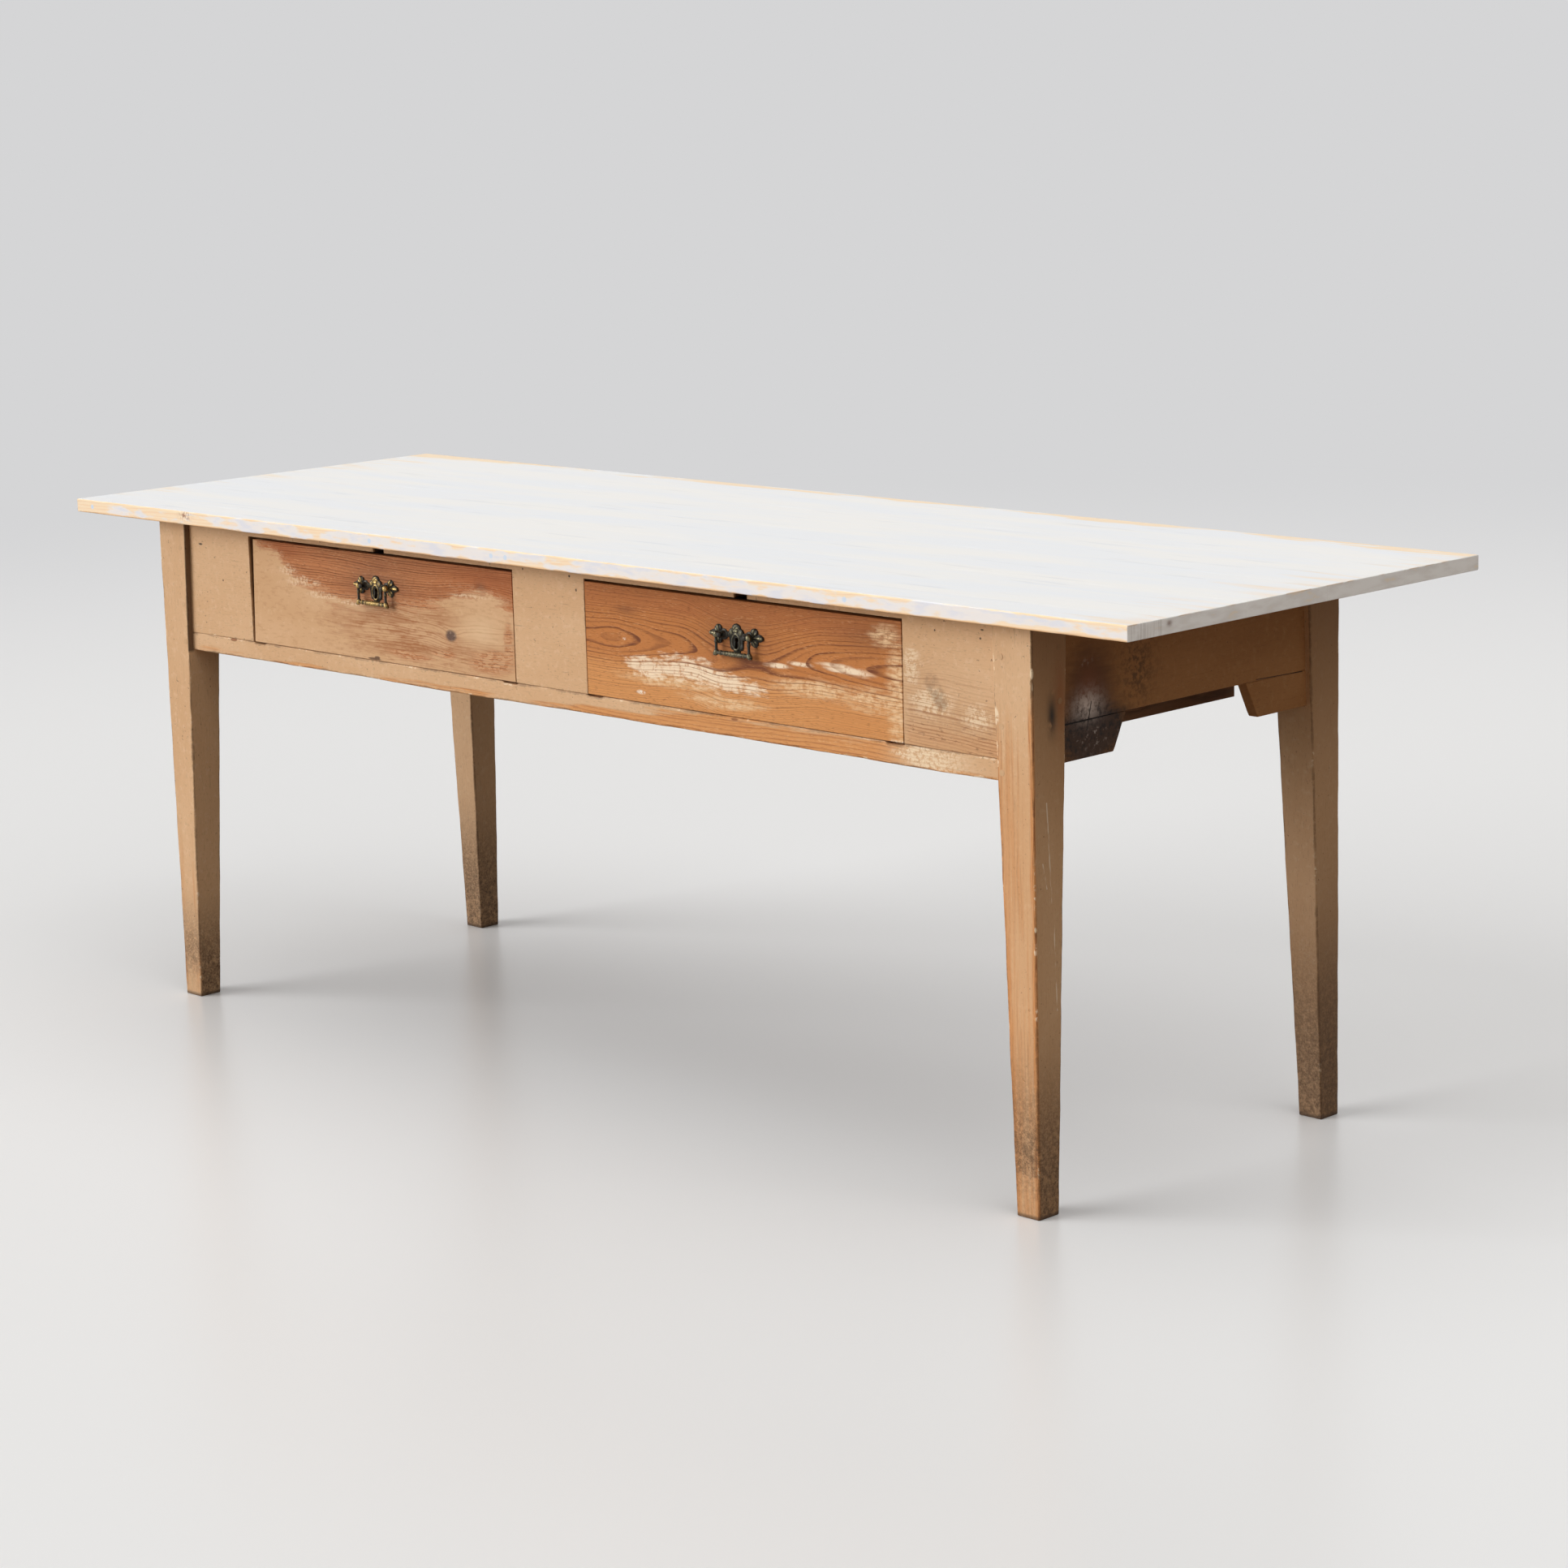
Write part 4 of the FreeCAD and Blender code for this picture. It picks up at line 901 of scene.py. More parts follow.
smudge = finish.stroke("xz", (710, 660), (726, 638), 11.0)
blurred = finish.grains(0.012, 48.0, 3.0).smooth(0.26, 0.58)
colour = finish.blend(smudge * blurred * 0.48, colour, tone(120, 92, 66))
colour = aged(finish, colour, 41.0, rim=0.4)
dots = finish.blots(
    ((-798, FRONT, 715), (4, 30, 1.4)), ((-56, FRONT, 739), (1.5, 30, 1.4)),
    ((40, FRONT, 737), (1.6, 30, 1.5)), ((53, FRONT, 719), (1.6, 30, 2.2)),
    ((717, FRONT, 727), (1.4, 30, 1.4)), ((796, FRONT, 735), (2.5, 30, 1.0)),
    ((793, FRONT, 724), (1.6, 30, 1.6)), ((-746, FRONT, 664), (1.4, 30, 1.4)),
    ragged=0.5, soft=0.5, seed=46.0,
)
colour = finish.blend(dots * 0.9, colour, tone(48, 34, 25))
# Painted shade: every face set back from the front face, such as the walls of the openings and slots, is
# made dark brown.
painted_shade_in_openings = y.smooth((FRONT + 0.8) * MM, (FRONT + 4.5) * MM)
colour = finish.blend(painted_shade_in_openings * 0.85, colour, tone(62, 42, 27))
relief = paint_relief(finish, 41.0, worn_to * late, late)
panel_finish = finish.done(colour, PAINT_ROUGHNESS, relief, PAINT_DEPTH, **MATT)

# %% [markdown]
# ## Front board
# The board between the drawers and round them is one plank with two openings sawn out, and a slot over
# each for the lock bolt. It is laid out as a grid whose cells are kept or left out; walls close it
# wherever a kept cell meets an empty one, and a bevel rounds the sawn edges. Boolean modifiers could
# cut the openings too, but they leave long thin faces that shade badly.

# %% A sawn board
def fill_lines(breaks, pitch):
    """Grid lines through all the breaks, with the gaps between them in steps of about the pitch."""
    gaps = list(zip(breaks[:-1], breaks[1:]))
    counts = [max(2, int(np.ceil((end - start) / pitch)) + 1) for start, end in gaps]
    runs = [np.linspace(*gap, count) for gap, count in zip(gaps, counts)]
    return np.unique(np.concatenate(runs).round(6))


def soften(piece, name):
    """A small bevel on every sharp edge."""
    bevel = piece.modifiers.new(name, "BEVEL")
    bevel.width = 0.8 * MM
    bevel.segments = 2
    bevel.limit_method = "ANGLE"
    return bevel


def sawn_board(name, across, up, kept, front, back, material):
    """Two sheets of the kept cells, at two depths, joined by walls along every border of those cells."""
    columns, rows = len(across), len(up)
    index = np.arange(columns * rows * 2).reshape(columns, rows, 2)
    grid = np.stack(np.meshgrid(across, up, [front, back], indexing="ij"), axis=-1)
    points = grid[..., [0, 2, 1]].reshape(-1, 3)
    corners = np.stack([index[:-1, :-1], index[1:, :-1], index[1:, 1:], index[:-1, 1:]], axis=-1)
    near = corners[:, :, 0][kept]
    far = corners[:, :, 1][kept][:, ::-1]
    padded = np.pad(kept, 1).astype(int)
    step_x = np.diff(padded, axis=0)[:, 1:-1]
    step_z = np.diff(padded, axis=1)[1:-1]
    upright = np.stack([index[:, :-1, 0], index[:, 1:, 0], index[:, 1:, 1], index[:, :-1, 1]], axis=-1)
    lying = np.stack([index[:-1, :, 0], index[1:, :, 0], index[1:, :, 1], index[:-1, :, 1]], axis=-1)
    walls = [
        upright[step_x > 0], upright[step_x < 0][:, ::-1],
        lying[step_z > 0][:, ::-1], lying[step_z < 0],
    ]
    faces = np.concatenate([near, far, *walls])
    used, faces = np.unique(faces, return_inverse=True)
    rim = np.unique(np.concatenate(walls))
    gaps = points[used][:, None, [0, 2]] - points[rim][None, :, [0, 2]]
    distance = np.sqrt((gaps ** 2).sum(axis=-1)).min(axis=1)
    closeness = np.exp(-distance / EDGE_REACH)
    piece = lay_mesh(name, points[used], faces.reshape(-1, 4).tolist(), material, edge=closeness)
    soften(piece, "sawn_edges")
    piece.modifiers.new("even_normals", "WEIGHTED_NORMAL")
    return piece


print("saw ready")

# %% The front board in place
STRIP = 14 * MM
GRID_PITCH = 8 * MM
STRIKE_WIDTH = 24 * MM
STRIKE_RISE = 8 * MM
STRIKE_OFFSET = 8 * MM
apron_low, apron_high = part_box("front_apron")
keyhole = {}
strikes = []
for side in ("left", "right"):
    keyhole[side] = np.mean([corner.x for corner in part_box(f"{side}_handle_plate")])
    strikes += [keyhole[side] + STRIKE_OFFSET + turn * STRIKE_WIDTH / 2 for turn in (-1, 1)]
head = apron_high.z - STRIP
breaks = [apron_low.x, left_start, left_end, right_start, right_end, apron_high.x, *strikes]
across = fill_lines(sorted(breaks), GRID_PITCH)
rise = fill_lines([apron_low.z, head, head + STRIKE_RISE, apron_high.z], GRID_PITCH)
middle_x = ((across[:-1] + across[1:]) / 2)[:, None]
middle_z = ((rise[:-1] + rise[1:]) / 2)[None, :]


def within(start, end):
    """Which grid columns lie between two places."""
    return (middle_x > start) & (middle_x < end)


over_opening = within(left_start, left_end) | within(right_start, right_end)
over_strike = within(*strikes[:2]) | within(*strikes[2:])
kept = ~(over_opening & (middle_z < head)) & ~(over_strike & (middle_z < head + STRIKE_RISE))
apron = sawn_board("worn_front_apron", across, rise, kept, apron_low.y, apron_high.y, panel_finish)
dress(apron, "frame", "painted_pine", "front_apron")
print("front board:", len(apron.data.vertices), "points")

# %% [markdown]
# ## Drawer fronts
# The drawer fronts keep their solids, because those already have the dovetail sockets, the lock's
# recess and the keyhole. A bevel softens their edges. Their looks depend on a few lines that were
# followed on the real fronts: the border of the scraped part, the middle of the figure, the depth of
# the pith. A colour ramp serves as such a line.

# %% A line drawn by points
def track(finish, value, points):
    """A height that follows points given as (place, height) in millimetres, along a value in metres."""
    places, heights = np.array(points, float).T
    share = (value - places[0] * MM) / (np.ptp(places) * MM)
    ramp = finish.tree.nodes.new("ShaderNodeValToRGB")
    ramp.color_ramp.interpolation = "CARDINAL"
    finish.feed(ramp.inputs[0], share)
    stops = ramp.color_ramp.elements
    for place in places[1:-1]:
        stops.new((place - places[0]) / np.ptp(places))
    for stop, height in zip(stops, heights):
        stop.color = (*[(height - heights.min()) / np.ptp(heights)] * 3, 1.0)
    return Wire(finish, ramp.outputs[0]) * (np.ptp(heights) * MM) + heights.min() * MM


print("lines by points ready")

# %% [markdown]
# The left front has fine, nearly straight grain. It was scraped down to the wood above a ragged line;
# below it the paint is thin. On the right the grain parts round a lens of pale paint, and a knot shows
# left of that. Noise along the grain is added to the line, so that paint and wood meet in fingers, as
# they do where a scraper has slipped.

# %% Left drawer front: wood and paint
FINE_RING = 3.8 * MM
LENS_HEIGHT = 655 * MM

finish = Finish("stripped_left", "xzy")
x, y, z = finish.place.values()
smear = finish.streaks(0.09, 0.011, 6.0, 4.0)
fleck = finish.streaks(0.012, 0.0034, 8.0, 3.0)
grit = finish.grains(0.007, 9.0, 3.0, 0.6)
lens = finish.bell((-152, FRONT, 655), (78, None, 44))
knot = finish.bell((-216, FRONT, 630), (30, None, 15))
wave = (finish.streaks(0.22, 0.05, 3.0) - 0.5) * 0.022 + (finish.streaks(0.07, 0.02, 4.0) - 0.5) * 0.004
count = (z - (z - LENS_HEIGHT) * lens * 0.55 + wave) / FINE_RING + knot * 3.0
late = ring_lines(finish, count, 3.0, start=0.50)
wood = pine_colour(finish, late, tone(188, 122, 76), tone(98, 52, 28), tone(222, 172, 124))
orange = finish.bell((-120, FRONT, 716), (110, None, 32))
orange = orange.top(finish.bell((-600, FRONT, 726), (60, None, 16)))
wood = finish.blend(orange * 0.55, wood, tone(166, 88, 44))
browned = finish.streaks(0.14, 0.020, 11.0, 3.0).smooth(0.42, 0.66)
wood = finish.blend(browned * 0.25, wood, tone(142, 82, 48))

broad = finish.streaks(0.2, 0.06, 9.0, 3.0).smooth(0.3, 0.7)
paint = finish.blend(broad, tone(213, 172, 131), tone(205, 162, 119))
paint = finish.blend(fleck.smooth(0.52, 0.68) * 0.25, paint, tone(172, 122, 78))
paint = finish.blend(grit.smooth(0.56, 0.72) * 0.25, paint, tone(228, 196, 158))
thin_here = finish.blot((-270, FRONT, 628), (185, 40, 46), ragged=0.7, soft=0.6, seed=15.0)
thin_here = thin_here * (1.0 - lens * 0.7)
worn = late * 0.65 + smear.smooth(0.42, 0.58) * 0.45 + fleck.smooth(0.48, 0.62) * 0.20 + 0.14
paint = finish.blend(thin_here * worn.least(0.95), paint, tone(160, 100, 57))
lens_patch = finish.bell((-150, FRONT, 642), (50, None, 24))
paint = finish.blend(lens_patch * (1.0 - late * 0.5) * 0.7, paint, tone(226, 192, 152))
print("left front:", len(finish.tree.nodes), "nodes so far")

# %% Left drawer front: the scraped part and its marks
KEYHOLE_SHADE_TONE = tone(28, 21, 15)
STRIPPED_ROUGHNESS = 0.62

tide = track(finish, x, [
    (-674, 738), (-654, 726), (-603, 709), (-576, 684), (-538, 671), (-491, 659), (-425, 656), (-351, 659),
    (-278, 661), (-232, 673), (-205, 687), (-134, 690), (-92, 680), (-79, 676),
])
scraped = z - tide + (smear - 0.5) * 0.050 + (fleck - 0.5) * 0.036 - late * 0.004
bare = scraped.smooth(-0.006, 0.004)
low_bare = finish.blots(
    ((-130, FRONT, 600), (46, 40, 16)), ((-310, FRONT, 592), (46, 40, 6)), ((-92, FRONT, 628), (9, 40, 30)),
    ((-235, FRONT, 602), (24, 40, 5)), ragged=0.7, soft=0.4, seed=12.0,
)
bare = bare.top(low_bare * (fleck.smooth(0.30, 0.52) * 0.5 + 0.5))
colour = finish.blend(bare, paint, wood)

veil = scraped.smooth(0.024, -0.004) * bare * fleck.smooth(0.44, 0.56)
colour = finish.blend(veil * 0.55, colour, tone(220, 180, 138))
flakes = finish.blots(
    ((-585, FRONT, 694), (16, 30, 8)), ((-548, FRONT, 678), (30, 30, 7)), ((-505, FRONT, 664), (34, 30, 5)),
    ((-440, FRONT, 657), (30, 30, 3)), ((-176, FRONT, 690), (40, 30, 2.5)), ragged=1.0, soft=0.5, seed=18.0,
)
chalk = finish.grains(0.0045, 19.0, 3.0, 0.6).smooth(0.42, 0.56)
colour = finish.blend(flakes * chalk * (1.0 - late * 0.6) * 0.60, colour, tone(236, 210, 176))
core = finish.blot((-216, FRONT, 630), (11, 30, 8), ragged=0.3, soft=0.35, seed=4.0)
colour = finish.blend(core * 0.9, colour, tone(84, 64, 58))
colour = finish.blend(core * grit.smooth(0.54, 0.62) * 0.7, colour, tone(150, 122, 104))
# Darker patches: a broad one over the handle and two small ones to its right.
dark_patches = finish.bell((-376, FRONT, 692), (68, None, 32)) * 0.46
dark_patches = dark_patches.top(finish.bell((-345, FRONT, 667), (16, None, 9)) * 0.5)
dark_patches = dark_patches.top(finish.bell((-148, FRONT, 705), (12, None, 8)) * 0.5)
colour = finish.blend(dark_patches * (smear.smooth(0.30, 0.60) * 0.5 + 0.5), colour, tone(90, 64, 52))
nick = finish.blots(
    ((-392, FRONT, 580), (14, 30, 1.5)), ((-384, FRONT, 582), (6, 30, 2)), ragged=0.9, seed=25.0,
)
colour = finish.blend(nick * 0.85, colour, tone(78, 50, 32))
# Painted shade: the keyhole and the wood just round it are made nearly black.
keyhole_shade = finish.bell((-378.5, FRONT, 677), (7, None, 11)).smooth(0.3, 0.6)
colour = finish.blend(keyhole_shade * 0.9, colour, KEYHOLE_SHADE_TONE)
relief = late * bare * 0.5 - bare * 0.3 + grit * 0.2
left_front_finish = finish.done(colour, STRIPPED_ROUGHNESS, relief, WORN_DEPTH, **MATT)

# %% [markdown]
# The right front was cut close to the heart of the tree, so its rings make nested arches. They are
# rings round a pith line whose height and depth were followed along the board. Cream paint is left in
# the hollows, with the dark lines through it.

# %% Right drawer front: wood
RING_WIDTH = 6.2 * MM
RING_CROWDING = 1.3
FIGURE_REACH = 40 * MM
finish = Finish("stripped_right", "xzy")
x, y, z = finish.place.values()
smear = finish.streaks(0.09, 0.010, 6.0, 4.0)
fleck = finish.streaks(0.012, 0.0034, 8.0, 3.0)
grit = finish.grains(0.007, 9.0, 3.0, 0.6)
middle = track(finish, x, [
    (69, 661), (145, 661), (200, 662), (275, 663), (330, 651), (420, 650), (500, 664), (560, 666),
    (661, 666),
])
deep = track(finish, x, [
    (69, 31.5), (91, 30.9), (118, 29.9), (145, 30.9), (200, 34.7), (275, 38.5), (385, 44), (446, 42.2),
    (500, 38.5), (560, 34.7), (661, 31),
])
wave = (finish.streaks(0.20, 0.05, 3.0) - 0.5) * 0.007 + (finish.streaks(0.05, 0.016, 4.0) - 0.5) * 0.003
off = z - middle + wave
reach = (off.squared() + deep.squared()).math("SQRT")
near = (off.squared() * (-1 / FIGURE_REACH ** 2)).math("EXPONENT")
count = (reach / RING_WIDTH).math("POWER", RING_CROWDING)
late = ring_lines(finish, count, 7.0, start=0.48) * (near * 0.6 + 0.5)
height = z + (smear - 0.5) * 0.040
early = finish.blend(height.smooth(0.650, 0.610), tone(190, 121, 64), tone(212, 148, 88))
early = finish.blend(height.smooth(0.690, 0.715) * 0.6, early, tone(172, 104, 58))
wood = pine_colour(finish, late, early, tone(104, 52, 26), tone(218, 162, 108))
lit = finish.bell((566, FRONT, 592), (70, None, 22))
wood = finish.blend(lit * 0.4 * (1.0 - late), wood, tone(204, 136, 76))
gloom = finish.bell((601, FRONT, 705), (60, None, 18))
gloom = gloom.top(finish.bell((365, FRONT, 682), (62, None, 30)) * 1.2)
gloom = gloom.top(finish.bell((151, FRONT, 701), (22, None, 7)))
wood = finish.blend(gloom * 0.38, wood, tone(96, 56, 36))
print("right front:", len(finish.tree.nodes), "nodes so far")

# %% Right drawer front: cream paint in the hollows
band = track(finish, x, [(69, 628), (150, 628), (202, 629), (285, 631), (338, 622), (400, 620), (661, 620)])
half = track(finish, x, [
    (69, -16), (135, -8), (165, 9), (240, 15), (300, 15), (345, 11), (400, 5), (445, -10), (661, -16),
])
ragged = (smear - 0.5) * 0.030 + (fleck - 0.5) * 0.034
cream = (half - (z - band).math("ABSOLUTE") + ragged).smooth(-0.006, 0.008)
cream = cream.top(finish.blots(
    ((479, FRONT, 660), (20, 40, 2.8)), ((436, FRONT, 654), (22, 40, 2.8)),
    ((572, FRONT, 660), (38, 40, 4.5)), ((540, FRONT, 664), (26, 40, 3)),
    ragged=1.0, soft=0.5, seed=31.0,
))
soft = finish.blots(
    ((337, FRONT, 595), (60, 40, 8)), ((500, FRONT, 630), (66, 40, 11)), ((600, FRONT, 626), (46, 40, 14)),
    ((632, FRONT, 712), (22, 40, 12)), ((652, FRONT, 640), (16, 40, 60)), ((230, FRONT, 612), (80, 40, 8)),
    ragged=0.7, soft=0.6, seed=35.0,
)
left_in = (1.0 - late.top(0.0).least(1.0) * 0.95) * (grit.smooth(0.34, 0.50) * 0.6 + 0.4)
flecked = fleck.smooth(0.34, 0.60) * 0.7 + 0.3
colour = finish.blend(soft * left_in * flecked * 0.9, wood, tone(236, 202, 158))
colour = finish.blend(cream * left_in * 0.95, colour, tone(247, 225, 195))
spots = finish.blots(
    ((177, FRONT, 592), (7, 30, 2.4)), ((649, FRONT, 578), (10, 30, 1.8)),
    ((147, FRONT, 661), (3, 30, 1.6)),
    ragged=0.9, soft=0.6, seed=39.0,
)
chalk = finish.grains(0.0035, 19.0, 3.0, 0.6).smooth(0.40, 0.54)
colour = finish.blend(spots * chalk * 0.9, colour, tone(246, 234, 216))
# Painted shade: the keyhole and the wood just round it are made nearly black.
keyhole_shade = finish.bell((365, FRONT, 677), (7, None, 11)).smooth(0.3, 0.6)
colour = finish.blend(keyhole_shade * 0.9, colour, KEYHOLE_SHADE_TONE)
relief = cream * 0.3 + late * 0.35 + grit * 0.2
right_front_finish = finish.done(colour, STRIPPED_ROUGHNESS, relief, WORN_DEPTH, **MATT)

# %% Finishes on the drawer fronts
for side, chosen in (("left", left_front_finish), ("right", right_front_finish)):
    front = nodes[f"{side}_drawer_front"]
    front.data.materials.clear()
    front.data.materials.append(chosen)
    bevel = soften(front, "worn_edges")
    bevel.use_clamp_overlap = False
    bevel.harden_normals = True
print("drawer fronts ready")

# %% [markdown]
# ## Top
# The top is pine under thin whitewash. From above it is nearly white, faintly blue where the wash lies
# thick and cream where it is thin. On the front strip the wash is worn into patches of lavender grey
# and peach-coloured wood, and along both upper corners the wood shows as a line. On the end the wash
# has soaked in and looks grey; only the strip's end shows open end grain. One finish covers all five
# boards: it asks of each place whether it lies on top, on the front edge or on an end, so the wash runs
# on from board to board.

# %% The whitewash from above
WASH_DEPTH = 0.3 * MM
top_low, top_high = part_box("top_edging")
finish = Finish("whitewash", "xyz")
x, y, z = finish.place.values()
late = ring_lines(finish, pith_count(finish, (-300.0, 560.0), 5.0, 0.03, 5.0), 5.0)
broad = finish.streaks(0.40, 0.06, 3.0, 3.0)
smear = finish.streaks(0.16, 0.016, 4.0, 4.0)
brush = finish.streaks(0.5, 0.005, 5.0, 3.0)
wash = finish.blend(broad.smooth(0.35, 0.65), tone(243, 242, 240), tone(238, 240, 243))
wash = finish.blend(brush.smooth(0.5, 0.75) * 0.3, wash, tone(247, 244, 239))
wash = finish.blend(smear.smooth(0.60, 0.74) * 0.5, wash, tone(222, 224, 228))
peach = finish.blend(late * 0.6, tone(252, 226, 190), tone(243, 202, 154))

to_right = (x + (broad - 0.5) * 0.5).smooth(0.78, 1.12)
to_left = (x + (broad - 0.5) * 0.5).smooth(-0.86, -1.12)
to_back = (y + (smear - 0.5) * 0.10).smooth(0.315, 0.352)
thin = to_right.top(to_left) * 0.30 + to_back * 0.55
bare = (thin + smear * 0.55).smooth(0.48, 0.78)
colour = finish.blend(bare * 0.8, wash, peach)
print("whitewash:", len(finish.tree.nodes), "nodes so far")

# %% The whitewash on the front edge
CORNER_SLANT = 0.8
strip_middle = (top_low.z + top_high.z) / 2
crest = top_high.z - top_low.y * CORNER_SLANT

on_front = y.smooth(top_low.y + 1.8 * MM, top_low.y + 0.4 * MM)
patch = finish.streaks(0.055, 0.014, 13.0, 3.0)
long_patch = finish.streaks(0.25, 0.03, 15.0, 2.0)
at_ends = x.smooth(-0.97, -1.00) * 1.5 + x.smooth(0.80, 0.98) * 0.5
lines = (z - strip_middle).math("ABSOLUTE").smooth(0.005, 0.010) * 0.14
showing = (patch + (long_patch - 0.5) * 0.6 + at_ends * 0.16 + lines).smooth(0.50, 0.62)
lavender = finish.blend(patch.smooth(0.35, 0.5), tone(229, 229, 235), tone(240, 235, 232))
front_colour = finish.blend(showing * 0.9, lavender, peach)
low_line = z.smooth(top_low.z + 3 * MM, top_low.z + 1.2 * MM) * patch.smooth(0.36, 0.52)
front_colour = finish.blend(low_line * 0.6, front_colour, tone(236, 180, 116))
colour = finish.blend(on_front, colour, front_colour)
corner_line = (z - y * CORNER_SLANT).smooth(crest - 2.1 * MM, crest - 0.8 * MM)
corner_line = corner_line * (smear + long_patch * 0.4).smooth(0.62, 0.72)
colour = finish.blend(corner_line * 0.6, colour, tone(250, 218, 172))
speckled = finish.grains(0.005, 6.0, 3.0, 0.6).smooth(0.44, 0.58)
knot = finish.bell((-779, -352, 764), (12, None, 6)) * speckled
colour = finish.blend(knot * on_front * 0.9, colour, tone(140, 84, 66))
print("front edge:", len(finish.tree.nodes), "nodes so far")

# %% The whitewash on the ends
on_end = x.math("ABSOLUTE").smooth(top_high.x - 1.2 * MM, top_high.x - 0.3 * MM)
dab = finish.noise((0.05, 0.040, 0.012), 21.0, 4.0)
end_wash = finish.blend(dab.smooth(0.40, 0.62), tone(250, 248, 245), tone(240, 236, 232))
end_wash = finish.blend(dab.smooth(0.60, 0.70) * 0.6, end_wash, tone(248, 232, 208))
tally = finish.noise((0.05, 0.0026, 0.05), 22.0, 3.0)
on_strip = y.smooth(top_high.y + 0.5 * MM, top_high.y - 0.5 * MM)
end_wash = finish.blend(tally.smooth(0.48, 0.64) * on_strip * 0.22, end_wash, tone(128, 110, 92))
rim = z.smooth(top_high.z - 2 * MM, top_high.z - 0.2 * MM) * dab.smooth(0.50, 0.60)
end_wash = finish.blend(rim * 0.6, end_wash, tone(196, 150, 100))
spot = finish.bell((1060, -275, 763), (None, 5, 3.5)) * dab.smooth(0.30, 0.52)
end_wash = finish.blend(spot * 0.8, end_wash, tone(116, 72, 54))
colour = finish.blend(on_end, colour, end_wash)
wash_finish = finish.done(colour, PAINT_ROUGHNESS, smear * 0.3 - bare * 0.3, WASH_DEPTH, **MATT)

# %% The top's boards
SEAM = 0.25
EDGE = 1.4
FRONT_CORNERS = np.array([SEAM, EDGE, EDGE, SEAM])
BACK_CORNERS = np.array([EDGE, SEAM, SEAM, EDGE])
SEAM_CORNERS = np.full(4, SEAM)
for name in ("top_edging", "top_board_1", "top_board_2", "top_board_3", "top_board_4"):
    radii = {"top_edging": FRONT_CORNERS, "top_board_4": BACK_CORNERS}.get(name, SEAM_CORNERS)
    board = worn_board("worn_" + name, *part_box(name), 0, wash_finish, radius=radii, end_radius=1.0,
                       pitch=20.0, slack=0.03)
    dress(board, "frame", "whitewashed_pine", name)
print("top ready")

# %% [markdown]
# ## Handles
# Each handle is a cast plate: a shield with a framed keyhole, a crest above, a drop below, and an arm
# to each side that ends in a three-leaved sprig. Its outline is the union of a few ellipses, so at each
# place along the plate there is one highest and one lowest point. The plate is filled in between them,
# above and below the keyhole, and its relief is a dome over every ellipse with fine ribs on top. The
# brass has gone nearly black in its hollows and is rubbed bright on top. Sculpting would do as well,
# but formulas make both halves and both handles alike.

# %% Brass
CAST_DEPTH = 0.2 * MM


def brass(name, bright, dull):
    """Dark bronze patina, rubbed bright where the casting stands high."""
    finish = Finish(name)
    high = finish.mark("relief")
    grain = finish.grains(0.0014, 1.0, 3.0)
    crust = finish.grains(0.0045, 2.0, 3.0).smooth(0.45, 0.65)
    rub = (high + (grain - 0.5) * 0.7).smooth(0.52, 1.10)
    patina = finish.blend(crust, tone(34, 29, 20), dull)
    colour = finish.blend(rub, patina, bright)
    return finish.done(colour, 0.50 - rub * 0.22, grain, CAST_DEPTH, Metallic=rub * 0.5 + 0.4)


brasses = {
    "left": brass("golden_brass", tone(178, 148, 90), tone(54, 45, 29)),
    "right": brass("dark_brass", tone(108, 101, 78), tone(38, 37, 29)),
}

# %% The outline and relief of the plate
PLATE_ELLIPSES = np.array([
    (0.0, 0.0, 11.5, 15.0, 1.9),
    (0.0, 14.4, 8.4, 7.5, 3.2),
    (8.6, 10.0, 4.6, 5.2, 2.8),
    (0.0, -13.6, 6.2, 5.8, 1.8),
    (7.6, -8.6, 4.8, 5.0, 1.6),
    (16.0, 6.5, 8.0, 3.6, 1.8),
    (24.0, 6.0, 7.4, 7.4, 1.4),
    (32.0, 6.0, 9.0, 6.8, 2.2),
    (33.5, 13.2, 6.4, 5.4, 2.9),
    (33.5, -1.6, 6.4, 5.4, 2.9),
    (42.2, 6.0, 5.8, 5.2, 2.9),
    (47.6, 6.0, 2.4, 3.2, 2.4),
])
RIM_THICKNESS = 0.7


def plate_limits(across):
    """The lowest and highest point of the ellipses and their mirror images at each place across."""
    side = np.abs(across)[:, None]
    middle, height, wide, tall = PLATE_ELLIPSES[:, :4].T
    inside = 1 - ((side - middle) / wide) ** 2
    half = tall * np.sqrt(np.clip(inside, 0, None))
    low = np.where(inside >= 0, height - half, np.inf).min(axis=1)
    high = np.where(inside >= 0, height + half, -np.inf).max(axis=1)
    return low, high


